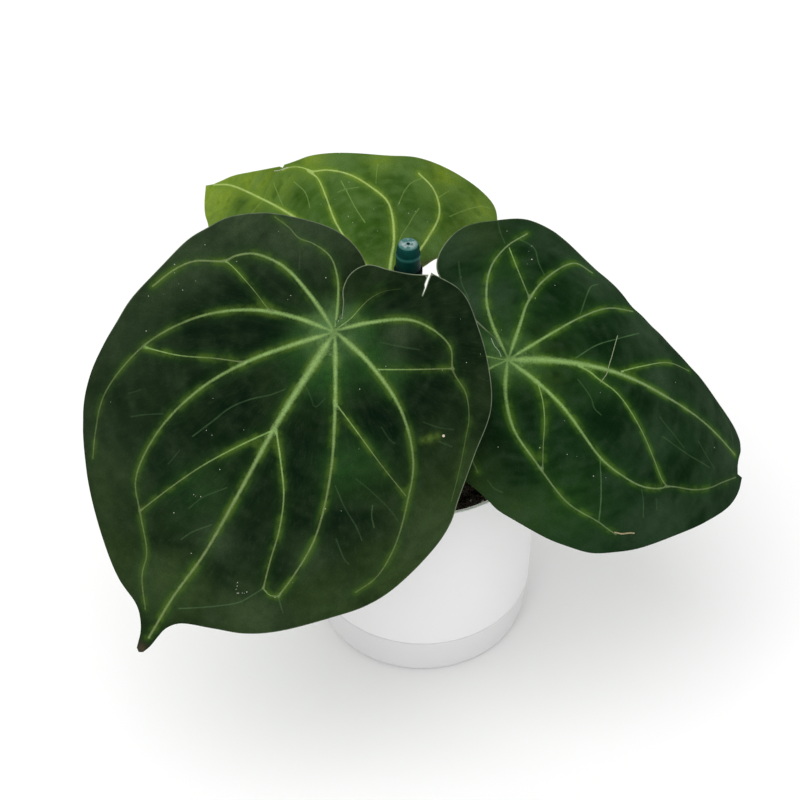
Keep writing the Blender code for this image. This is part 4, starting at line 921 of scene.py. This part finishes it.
def moulded(name, bands, roughness, capTopMarks):
    # ABS: smooth moulded plastic with a soft highlight. Where the last value is over 0, the top face is
    # painted lighter teal as a painted highlight, with pale grey specks towards the middle
    material, tree, shader = newMaterial(name, Specular_IOR_Level=0.02, IOR=1.53)
    place = addNode(tree, "ShaderNodeTexCoord").outputs["Object"]
    height = addNode(tree, "ShaderNodeSeparateXYZ", {"Vector": place}).outputs["Z"]
    level = addNode(tree, "ShaderNodeVectorMath", {0: place, 1: (1, 1, 0)}, operation="MULTIPLY")
    axis = (gauge["at"][0] * mm, gauge["at"][1] * mm, 0)
    radius = addNode(tree, "ShaderNodeVectorMath", {0: level, 1: axis}, operation="DISTANCE").outputs["Value"]
    clouds = addNode(tree, "ShaderNodeTexNoise", {"Vector": place, "Scale": 160, "Detail": 4})  # 6 mm
    spots = addNode(tree, "ShaderNodeTexNoise", {"Vector": place, "Scale": 330, "Detail": 5,  # 3 mm
                                                 "Roughness": 0.65})
    top = gauge["cap"][3]
    ranges = {  # name: what it reads, from, to, value there at the start and at the end
        "rise": (height, gauge["collar"][2] * mm, top * mm, 0.0, 1.0), "wear": (clouds, 0.3, 0.7, 0.8, 1.2),
        "paintedTopGlare": (height, (top - 1.0) * mm, (top - 0.4) * mm, 0.0, 0.85 * capTopMarks),
        "centre": (radius, 3.2 * mm, 6.0 * mm, 1.0, 0.1), "round": (radius, 1.1 * mm, 1.5 * mm, 0.0, 1.0),
        "paleSpecks": (spots, 0.42, 0.56, 0.0, 1.0),
    }
    amount = {key: addNode(tree, "ShaderNodeMapRange", {"Value": source, "From Min": low, "From Max": high,
                                                        "To Min": start, "To Max": end}).outputs[0]
              for key, (source, low, high, start, end) in ranges.items()}
    for key, other in (("paintedTopGlare", "round"), ("paleSpecks", "paintedTopGlare"), ("paleSpecks", "centre")):
        amount[key] = addNode(tree, "ShaderNodeMath", {0: amount[key], 1: amount[other]},
                              operation="MULTIPLY").outputs[0]
    colour = addNode(tree, "ShaderNodeValToRGB", {"Fac": amount["rise"]}, ramp=bands)
    colour = addNode(tree, "ShaderNodeVectorMath", {0: colour, 1: amount["wear"]}, operation="MULTIPLY")
    # A painted highlight on the top face, then the pale grey specks
    for key, over in (("paintedTopGlare", "#4a7974"), ("paleSpecks", "#aab8b6")):
        colour = addNode(tree, "ShaderNodeMix", {"Factor": amount[key], "A": colour, "B": over},
                         data_type="RGBA")
    finishShader(tree, shader, colour, (spots, 0.3, 0.7, roughness - 0.05, roughness + 0.1),
                 (spots, 0.15, 0.0001))
    return material


def makeGauge():
    collar, low, high = gauge["collar"]
    foot, ring, top, height = gauge["cap"]
    bore, radius, bottom = gauge["bore"], gauge["tubeRadius"], gauge["bottom"]
    tube = [(bore, bottom), (radius, bottom), (radius, low - 3), (collar, low), (collar, high), (bore, high)]
    tube = roundOff(tube, {1: 0.4, 2: 0.8, 3: 0.7, 4: 0.7})
    base, line, hole, roof = high + gauge["gap"], gauge["ringHeight"], gauge["hole"], height - gauge["roof"]
    cap = [(bore, base), (foot, base), (foot - 0.1, base + 1.6), (ring + 0.1, line - 0.6), (ring + 0.4, line),
           (ring - 0.05, line + 0.6), (ring - 0.5, height - 3.2), (top + 0.7, height - 0.9), (top, height),
           (top - 0.9, height - 0.05), (top - 1.3, height - 0.35), (hole + 1.2, height - 0.35),
           (hole + 0.9, height - 0.1), (hole, height - 0.2), (hole, roof), (bore, roof - 1)]
    cap = roundOff(cap, {1: 0.4, 2: 0.5, 4: 0.25, 6: 0.8, 8: 0.35, 13: 0.1}, 3)
    return (turnedMesh("gaugeTube", tube, gauge["at"], gauge["sides"], True),
            turnedMesh("gaugeCap", cap, gauge["at"], gauge["sides"], True))


tubeMesh, capMesh = makeGauge()
tubeObject = newObject("gaugeTube", tubeMesh, moulded("gaugeTubeAbs", gauge["tubeBands"], 0.35, 0))
isThePiece(tubeObject, "gauge_dark", "gauge_tube")
capObject = newObject("gaugeCap", capMesh, moulded("gaugeCapAbs", gauge["capBands"], 0.4, 1))
isThePiece(capObject, "gauge_teal", "gauge_cap")
floatSkin = moulded("gaugeFloatAbs", gauge["floatBands"], 0.45, 0)
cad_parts["gauge_float"].data.materials[0] = floatSkin
print("gauge made")


# Petioles: fresh round stalks from the crown to the blades, thicker at the foot and at the knee below a blade
stalks = {
    "baseRadius": 3.6, "radius": 2.7, "kneeRadius": 3.3, "step": 2.0, "sides": 20, "rooted": 24.0,
    "routes": {
        "front": [(-9.0, -9.5), (-14, -13, 185), (-30, -22, 235), (-47, -38, 280)],
        "right": [(10.5, -3.0), (17, -3, 180), (32, -9, 212), (45, -20, 236)],
        "back": [(-6.5, 11.0), (-11, 20, 166), (-21, 44, 185), (-26, 68, 203)],
    },
}
soil = {
    "top": 143.0, "relief": 2.2, "rings": 70, "spokes": 180, "gap": 0.3, "sunk": 0.6, "seed": 7,
    # Each kind of bit: its form, how many, their size, flatness, length and lift, what is added to the seed,
    # and their material with its two colours and its grain
    "bits": {
        "barkChips": ("chip", 1300, 5.5, 0.5, 1.5, 0.3, 0, ("barkChips", "#30231a", "#100b08", 1.8)),
        "perliteGrains": ("chip", 130, 2.4, 0.8, 1.1, 1.0, 4, ("perlite", "#c9c5ba", "#8f8a7c", 0.8)),
        "coirFibres": ("fibre", 160, 16.0, 1.0, 1.0, 1.0, 9, ("coir", "#6b4a2a", "#3b2815", 1.0)),
    },
}


def newTree(name, inputs):  # a Geometry Nodes tree with a mesh, these values and a material as inputs
    tree = bpy.data.node_groups.new(name, "GeometryNodeTree")
    tree.interface.new_socket("Geometry", in_out="INPUT", socket_type="NodeSocketGeometry")
    for label, kind, value in inputs:
        socket = tree.interface.new_socket(label, in_out="INPUT", socket_type="NodeSocket" + kind)
        socket.default_value = value
    tree.interface.new_socket("Finish", in_out="INPUT", socket_type="NodeSocketMaterial")
    tree.interface.new_socket("Geometry", in_out="OUTPUT", socket_type="NodeSocketGeometry")
    return tree, addNode(tree, "NodeGroupInput")


def endTree(tree, given, geometry):  # gives it out as one plain mesh in its material
    real = addNode(tree, "GeometryNodeRealizeInstances", {"Geometry": geometry})
    dressed = addNode(tree, "GeometryNodeSetMaterial", {"Geometry": real,
                                                        "Material": given.outputs["Finish"]})
    addNode(tree, "NodeGroupOutput", {"Geometry": dressed})
    return tree


def stalkTree(name):  # a round tube along a line whose points hold its thickness
    tree, given = newTree(name, (("Sides", "Int", 16), ("Thickness", "Float", 1.0)))
    line = addNode(tree, "GeometryNodeMeshToCurve", {"Mesh": given.outputs["Geometry"]})
    thick = addNode(tree, "GeometryNodeInputNamedAttribute", {"Name": "thick"}, data_type="FLOAT")
    size = addNode(tree, "ShaderNodeMath", {0: thick.outputs["Attribute"], 1: given.outputs["Thickness"]},
                   operation="MULTIPLY")
    line = addNode(tree, "GeometryNodeSetCurveRadius", {"Curve": line, "Radius": size})
    ring = addNode(tree, "GeometryNodeCurvePrimitiveCircle", {"Resolution": given.outputs["Sides"],
                                                              "Radius": 1.0})
    radius = addNode(tree, "GeometryNodeInputRadius")
    tube = addNode(tree, "GeometryNodeCurveToMesh", {"Curve": line, "Profile Curve": ring, "Scale": radius,
                                                     "Fill Caps": True})
    smooth = addNode(tree, "GeometryNodeSetShadeSmooth", {"Geometry": tube, "Shade Smooth": True})
    return endTree(tree, given, smooth)


def runTree(tree, mesh, name, settings):  # runs a Geometry Nodes tree on a mesh and keeps the plain result
    carrier = newObject(name + "Carrier", mesh)
    modifier = carrier.modifiers.new("grow", "NODES")
    modifier.node_group = tree
    for item in tree.interface.items_tree:
        if item.in_out == "INPUT" and item.name in settings:
            modifier[item.identifier] = settings[item.name]
    bpy.context.view_layer.update()
    result = bpy.data.meshes.new_from_object(carrier.evaluated_get(bpy.context.evaluated_depsgraph_get()))
    carrier.modifiers.clear()
    bpy.data.objects.remove(carrier)
    result.name = name
    return newObject(name, result)


def thickLine(name, path, radii):  # a line whose points hold their thickness, in metres
    mesh = bpy.data.meshes.new(name)
    mesh.from_pydata([Vector(p) * mm for p in path], [(k, k + 1) for k in range(len(path) - 1)], [])
    setAttribute(mesh, "thick", "FLOAT", "POINT", np.array(radii, np.float32) * mm)
    return mesh


def petioleSkin(name, ground, shade):
    # Living stalk: smooth waxy green, streaked lengthways, with pale corky flecks, and brown at the foot
    material, tree, shader = newMaterial(name, Specular_IOR_Level=0.45)
    place = addNode(tree, "ShaderNodeTexCoord").outputs["Object"]
    long = addNode(tree, "ShaderNodeMapping", {"Vector": place, "Scale": (1, 1, 0.15)})
    streak = addNode(tree, "ShaderNodeTexNoise", {"Vector": long, "Scale": 900, "Detail": 3})  # 1.1 mm wide
    fleck = addNode(tree, "ShaderNodeTexNoise", {"Vector": place, "Scale": 700, "Detail": 2})  # 1.4 mm
    height = addNode(tree, "ShaderNodeSeparateXYZ", {"Vector": place}).outputs["Z"]
    colour = addNode(tree, "ShaderNodeValToRGB", {"Fac": streak}, ramp=[(0.35, shade), (0.65, ground)])
    for source, low, high, least, most, over in ((fleck, 0.68, 0.74, 0.0, 0.6, "#a8a67c"),
                                                 (height, 0.14, 0.175, 0.75, 0.0, "#5b4a33")):
        share = addNode(tree, "ShaderNodeMapRange", {"Value": source, "From Min": low, "From Max": high,
                                                     "To Min": least, "To Max": most})
        colour = addNode(tree, "ShaderNodeMix", {"Factor": share, "A": colour, "B": over}, data_type="RGBA")
    finishShader(tree, shader, colour, (streak, 0, 1, 0.35, 0.55), (streak, 0.25, 0.0003))
    return material


def petioleRoute(side):
    blade = blades[side]
    place = bladeFrame(blade)
    slopeAlong, slopeAcross = jointSlope(blade)
    normal = (place.to_3x3() @ Vector((-slopeAlong, -slopeAcross, 1))).normalized()
    # The stalk stands square to the blade and ends 0.05 mm under its boss
    seat = place @ Vector((0, 0, -tissue["boss"])) - normal * 0.3
    (x, y), *via = stalks["routes"][side]
    low = soil["top"] - stalks["rooted"]
    route = [(x, y, low), (x, y, soil["top"] - 8), (x, y, soil["top"] + 5), *via,
             tuple(seat - normal * 5), tuple(seat + normal * 0.25)]
    path = smoothCurve(route, stalks["step"])
    t = np.linspace(0, 1, len(path))
    radii = stalks["baseRadius"] + (stalks["radius"] - stalks["baseRadius"]) * smoothStep(t, 0.25, 0.5)
    radii = radii + (stalks["kneeRadius"] - stalks["radius"]) * smoothStep(t, 0.86, 0.06)
    radii = radii * (1 + 0.025 * np.sin(t * 23 + len(side)) + 0.02 * np.sin(t * 57))  # a little uneven
    return path, radii


stalkTube = stalkTree("stalkTube")
stalkSkin = petioleSkin("petioleSkin", "#7f9a4a", "#627f38")
for side in blades:
    path, radii = petioleRoute(side)
    obj = runTree(stalkTube, thickLine(side + "Petiole", path, radii), side + "Petiole",
                  {"Sides": stalks["sides"], "Thickness": 1.0, "Finish": stalkSkin})
    isThePiece(obj, "stem", "petiole_" + side)


# Crown: the short stem that the stalks grow round
crown = {"radius": 6.0, "top": 158.0}


def barkSkin(name, ground, shade, grainSize):
    # Bark, peat, perlite, dried tissue and lime: matte and rough, in grains of this size and of two colours
    material, tree, shader = newMaterial(name, Specular_IOR_Level=0.25)
    place = addNode(tree, "ShaderNodeTexCoord").outputs["Object"]
    clouds = addNode(tree, "ShaderNodeTexNoise", {"Vector": place, "Scale": 1000 / grainSize, "Detail": 5,
                                                  "Roughness": 0.65})
    colour = addNode(tree, "ShaderNodeValToRGB", {"Fac": clouds}, ramp=[(0.32, shade), (0.7, ground)])
    finishShader(tree, shader, colour, (clouds, 0, 1, 0.7, 0.95), (clouds, 0.6, 0.0006))
    return material


def makeCrown():
    low = soil["top"] - stalks["rooted"]
    radius, top = crown["radius"], crown["top"]
    profile = [(0, low), (radius - 1, low), (radius, low + 2), (radius, soil["top"] + 2),
               (radius - 0.8, soil["top"] + 6), (radius - 2.6, top - 4), (radius - 4.6, top - 1), (0, top)]
    profile = roundOff(profile, {3: 1.5, 4: 1.5, 5: 1.5, 6: 0.8})
    mesh = turnedMesh("crown", profile, (0, 0), 40)
    for vertex in mesh.vertices:  # lumpy, with leaf scars ringed round it
        p = vertex.co / mm
        out = Vector((p.x, p.y, 0))
        if out.length > 0.5:
            bump = 0.35 * math.sin(p.z * 1.6) + 0.5 * noise.noise(Vector((p.x * 0.5, p.y * 0.5, p.z * 0.4)))
            vertex.co += out.normalized() * (min(bump, 0) - 0.15) * mm
    return mesh


crownObject = newObject("crownStem", makeCrown(), barkSkin("crownRind", "#6b6a3a", "#473c22", 3.0))
isThePiece(crownObject, "stem", "crown")
print("stalks and crown made")


# Potting mix: moist bark, peat, a little perlite and coir
def soilHeight(x, y):
    lump = (np.sin(x * 0.41 + 1.3) * np.cos(y * 0.37 - 0.4) + 0.6 * np.sin(x * 0.23 - y * 0.51)
            + 0.5 * np.cos(x * 0.83 + y * 0.71 + 2.0))
    edge = np.hypot(x, y) / pot["rimRadius"]
    relief = soil["relief"] * (0.3 + 0.7 * smoothStep(edge, 0.15, 0.3)) * (1 - edge ** 6)
    return soil["top"] + relief * lump - 3.0 * edge ** 4


def makeSoil():
    low = pot["plateHeight"] + pot["plate"] + soil["gap"]
    reach = boreRadius(soil["top"] - 4) - soil["gap"]
    count, rings = soil["spokes"], soil["rings"]
    around = [2 * math.pi * k / count for k in range(count)]
    verts = []
    for ring in range(1, rings + 1):
        for angle in around:
            x, y = reach * ring / rings * math.cos(angle), reach * ring / rings * math.sin(angle)
            rough = noise.noise(Vector((x / 2.5, y / 2.5, 1))) * 0.8
            rough += noise.noise(Vector((x / 6, y / 6, 4))) * 1.2
            verts.append((x, y, float(soilHeight(x, y)) + rough * (1 - (ring / rings) ** 8) - soil["sunk"]))
    for radius, z in ((boreRadius(low), low), (pot["wellRadius"], low),
                      (pot["wellRadius"] - pot["wellTaper"], pot["wellBottom"] + pot["plate"] + soil["gap"])):
        radius -= soil["gap"]
        verts += [(radius * math.cos(angle), radius * math.sin(angle), z) for angle in around]
    rows = len(verts) // count
    faces = []
    for row in range(rows - 1):
        a, b = row * count, (row + 1) * count
        faces += [(a + k, b + k, b + (k + 1) % count, a + (k + 1) % count) for k in range(count)]
    verts += [(0, 0, float(soilHeight(0, 0)) - soil["sunk"]), (0, 0, verts[-1][2])]
    centre, last = len(verts) - 2, (rows - 1) * count
    faces += [(centre, k, (k + 1) % count) for k in range(count)]
    faces += [(centre + 1, last + (k + 1) % count, last + k) for k in range(count)]
    mesh = bpy.data.meshes.new("pottingMix")
    mesh.from_pydata([Vector(v) * mm for v in verts], [], faces)
    upper = [max(f) < (rings - 1) * count or min(f) < count and max(f) == centre for f in faces]
    setAttribute(mesh, "upperFace", "BOOLEAN", "FACE", upper)
    mesh.shade_smooth()
    return mesh


def scatterTree(name, kind):  # random crumbs, fibres or specks on the faces marked upperFace
    tree, given = newTree(name, (
        ("Density", "Float", 1.0), ("Size", "Float", 0.004), ("Flatness", "Float", 0.5),
        ("Length", "Float", 1.0), ("Lift", "Float", 0.0), ("Seed", "Int", 1)))
    here = addNode(tree, "GeometryNodeInputNamedAttribute", {"Name": "upperFace"}, data_type="BOOLEAN")
    amount = given.outputs["Density"]
    if kind == "dust":  # thicker where the face is marked dusty
        dusty = addNode(tree, "GeometryNodeInputNamedAttribute", {"Name": "dust"}, data_type="FLOAT")
        more = addNode(tree, "ShaderNodeMath", {0: dusty.outputs["Attribute"], 1: 200.0, 2: 1.0},
                       operation="MULTIPLY_ADD")
        amount = addNode(tree, "ShaderNodeMath", {0: more, 1: amount}, operation="MULTIPLY")
    points = addNode(tree, "GeometryNodeDistributePointsOnFaces",
                     {"Mesh": given.outputs["Geometry"], "Selection": here.outputs["Attribute"],
                      "Density": amount, "Seed": given.outputs["Seed"]})
    spin = addNode(tree, "FunctionNodeRandomValue", {"Min": (-0.5, -0.5, 0.0), "Max": (0.5, 0.5, 6.283),
                                                     "Seed": given.outputs["Seed"]}, data_type="FLOAT_VECTOR")
    scale = addNode(tree, "FunctionNodeRandomValue", {"Min": 0.35, "Max": 1.0, "Seed": given.outputs["Seed"]},
                    data_type="FLOAT")
    if kind == "fibre":
        form = addNode(tree, "GeometryNodeCurveQuadraticBezier", {
            "Resolution": 8, "Start": (-0.5, 0, 0), "Middle": (0.05, 0.22, 0.12), "End": (0.5, 0, 0.02)})
        ring = addNode(tree, "GeometryNodeCurvePrimitiveCircle", {"Resolution": 5, "Radius": 0.018})
        form = addNode(tree, "GeometryNodeCurveToMesh", {"Curve": form, "Profile Curve": ring,
                                                         "Fill Caps": True})
    else:
        finer = 2 if kind == "chip" else 1
        form = addNode(tree, "GeometryNodeMeshIcoSphere", {"Radius": 0.5, "Subdivisions": finer})
        wobble = addNode(tree, "ShaderNodeTexNoise", {"Scale": 1.7, "Detail": 2})
        push = addNode(tree, "ShaderNodeVectorMath", {0: wobble.outputs["Color"], 1: (-0.5, -0.5, -0.5)},
                       operation="ADD")
        push = addNode(tree, "ShaderNodeVectorMath", {0: push, 1: (0.9, 0.9, 0.9)}, operation="MULTIPLY")
        form = addNode(tree, "GeometryNodeSetPosition", {"Geometry": form, "Offset": push})
    longways = addNode(tree, "ShaderNodeCombineXYZ", {"X": given.outputs["Length"], "Y": 1.0,
                                                      "Z": given.outputs["Flatness"]})
    form = addNode(tree, "GeometryNodeTransform", {"Geometry": form, "Scale": longways})
    size = addNode(tree, "ShaderNodeMath", {0: scale, 1: given.outputs["Size"]}, operation="MULTIPLY")
    turned = addNode(tree, "FunctionNodeEulerToRotation", {"Euler": spin})
    if kind == "dust":
        turned = points.outputs["Rotation"]
    placed = addNode(tree, "GeometryNodeInstanceOnPoints", {"Points": points, "Instance": form,
                                                            "Rotation": turned, "Scale": size})
    lift = addNode(tree, "ShaderNodeCombineXYZ", {"Z": given.outputs["Lift"]})
    placed = addNode(tree, "GeometryNodeTranslateInstances", {"Instances": placed, "Translation": lift,
                                                              "Local Space": False})
    return endTree(tree, given, placed)


def scattered(name, tree, mesh, bits, seed, finish):
    density, size, flatness, length, lift = bits  # density: how many on a square metre
    return runTree(tree, mesh.copy(), name, {
        "Density": density, "Size": size * mm, "Flatness": flatness, "Length": length, "Lift": lift * mm,
        "Seed": seed, "Finish": finish})


soilMesh = makeSoil()
soilObject = newObject("pottingMix", soilMesh, barkSkin("moistPeat", "#1b1410", "#0b0806", 2.5))
isThePiece(soilObject, "mix", "potting_mix")
soilArea = math.pi * ((boreRadius(soil["top"]) - 2) * mm) ** 2
for name, (kind, count, *form, later, stuff) in soil["bits"].items():
    tree = scatterTree(stuff[0], kind)
    bits = (count / soilArea, *form)
    isThePiece(scattered(name, tree, soilMesh, bits, soil["seed"] + later, barkSkin(*stuff)), "mix")
print("potting mix made")


# Dust and lime specks on the blades, thicker at a few splashes
specks = {
    "bits": (400.0, 0.7, 0.4, 1.2, 0.05),       # how many on a square metre, size, flatness, length and lift
    "stuff": ("driedLimeSpecks", "#c6c9bd", "#8f9884", 0.4), "seed": 5,
}
dustTree = scatterTree("limeSpecks", "dust")
dustSkin = barkSkin(*specks["stuff"])
for side, obj in bladeObjects.items():
    seed = specks["seed"] + len(side)
    isThePiece(scattered(side + "Specks", dustTree, obj.data, specks["bits"], seed, dustSkin),
               bladeSlots[side])


# What lies on the blades: perlite crumbs, and a straw fibre over the right blade's veins. A dried scar is a
# thin line too, as are two painted highlights: on the lit edge of the right blade's back lobe, and in the
# back blade's nick.
fallen = {
    "crumbs": {"front": [(77.8, 87.8, 0.85), (205, 8.5, 0.4)], "right": [(91, 70.5, 0.4)]},  # with their size
    # A line is its blade, its material and two colours, its radius, its height over the blade, and its points
    "lines": {
        "fibre": ("right", "strawFibre", "#93a07e", "#74835f", 0.27, 0.35,
                  [(31.5, 70), (30, 69), (25, 65.3), (19, 62), (13.5, 60.3), (8, 59), (4, 57.6), (0, 56)]),
        "scar": ("right", "driedTissue", "#a8a27e", "#7c7350", 0.5, 0.25,
                 [(-42.5, 123.5), (-40.5, 126.5), (-38.5, 129), (-37.4, 130.2)]),
        # The glint and sliver lines are painted highlights along lit edges
        "glint": ("right", "paleLeafEdge", "#b9c6a8", "#93a384", 0.22, 0.1,
                  [(-228.7, 15), (-225, 10), (-212.5, 4.5), (-204, 1.6)]),
        "sliver": ("back", "driedLeafEdge", "#c8ccb6", "#a9a78c", 0.3, 0.1,
                   [(-14.9, 118.9), (-16.3, 116.2), (-17.7, 114.2), (-19.3, 112.4)]),
    },
}


def makeCrumbs(side, places):
    bm = bmesh.new()
    for degrees, radius, size in places:
        at, normal = onBlade(side, degrees, radius, size * 0.3)
        turn = normal.to_track_quat("Z", "Y").to_matrix().to_4x4()
        flattened = Matrix.Diagonal((size * mm, size * mm, size * 0.45 * mm, 1))
        form = Matrix.Translation(at * mm) @ turn @ flattened
        bmesh.ops.create_icosphere(bm, subdivisions=2, radius=1, matrix=form)
    return keepMesh(bm, side + "Crumbs")


crumbSkin = barkSkin("perliteCrumb", "#dcd5c2", "#b9b09a", 0.8)
for side, places in fallen["crumbs"].items():
    isThePiece(newObject(side + "Crumbs", makeCrumbs(side, places), crumbSkin), bladeSlots[side])
for name, (side, stuff, ground, shade, radius, lift, places) in fallen["lines"].items():
    path = smoothCurve([onBlade(side, *p, lift)[0] for p in places], 0.8)
    line = thickLine(name, path, [radius] * len(path))
    settings = {"Sides": 6, "Thickness": 1.0, "Finish": barkSkin(stuff, ground, shade, 0.8)}
    isThePiece(runTree(stalkTube, line, name, settings), bladeSlots[side])
# The dry edges in this message are the two painted edge highlights
print("fallen crumbs, fibre and dry edges made")


# Camera and light: a view from above at 44 degrees, in a white room with a wide soft lamp at the front left
camera = {"at": (-0.0152, -0.9168, 1.0692), "tilt": 46.11, "lens": 90.0}
cameraData = bpy.data.cameras.new("camera")
cameraData.lens, cameraData.sensor_width = camera["lens"], 36
cameraObject = newObject("camera", cameraData)
cameraObject.location = camera["at"]
cameraObject.rotation_euler = (math.radians(camera["tilt"]), 0, 0)
scene.camera = cameraObject

room = {"white": 0.765, "lamp": 1.33, "lampFrom": (-0.25, -0.4, 1.0), "lampAngle": 50.0, "floor": "#fafafa",
        "floorShade": "#f8f8f8"}
scene.view_settings.view_transform = "Standard"
world = bpy.data.worlds.new("whiteRoom")
scene.world = world
world.use_nodes = True
world.node_tree.nodes["Background"].inputs["Color"].default_value = (1, 1, 1, 1)
world.node_tree.nodes["Background"].inputs["Strength"].default_value = room["white"]
lamp = bpy.data.lights.new("softLamp", "SUN")
lamp.energy, lamp.angle = room["lamp"], math.radians(room["lampAngle"])
lampObject = newObject("softLamp", lamp)
lampObject.rotation_euler = Vector(room["lampFrom"]).to_track_quat("Z", "Y").to_euler()
bpy.ops.mesh.primitive_plane_add(size=8)
floor = bpy.context.object
floor.name = "floor"
# White paper: matte, with a cloudiness of 0.3 m that hardly shows
floorMaterial, floorTree, floorShader = newMaterial("seamlessPaper", Roughness=0.9, Specular_IOR_Level=0.1)
floorPlace = addNode(floorTree, "ShaderNodeTexCoord").outputs["Object"]
clouds = addNode(floorTree, "ShaderNodeTexNoise", {"Vector": floorPlace, "Scale": 3, "Detail": 2})
tint = addNode(floorTree, "ShaderNodeMix", {"Factor": clouds, "A": room["floor"], "B": room["floorShade"]},
               data_type="RGBA")
floorTree.links.new(tint.outputs[2], floorShader.inputs["Base Color"])
floor.data.materials.append(floorMaterial)
print("camera and light set")
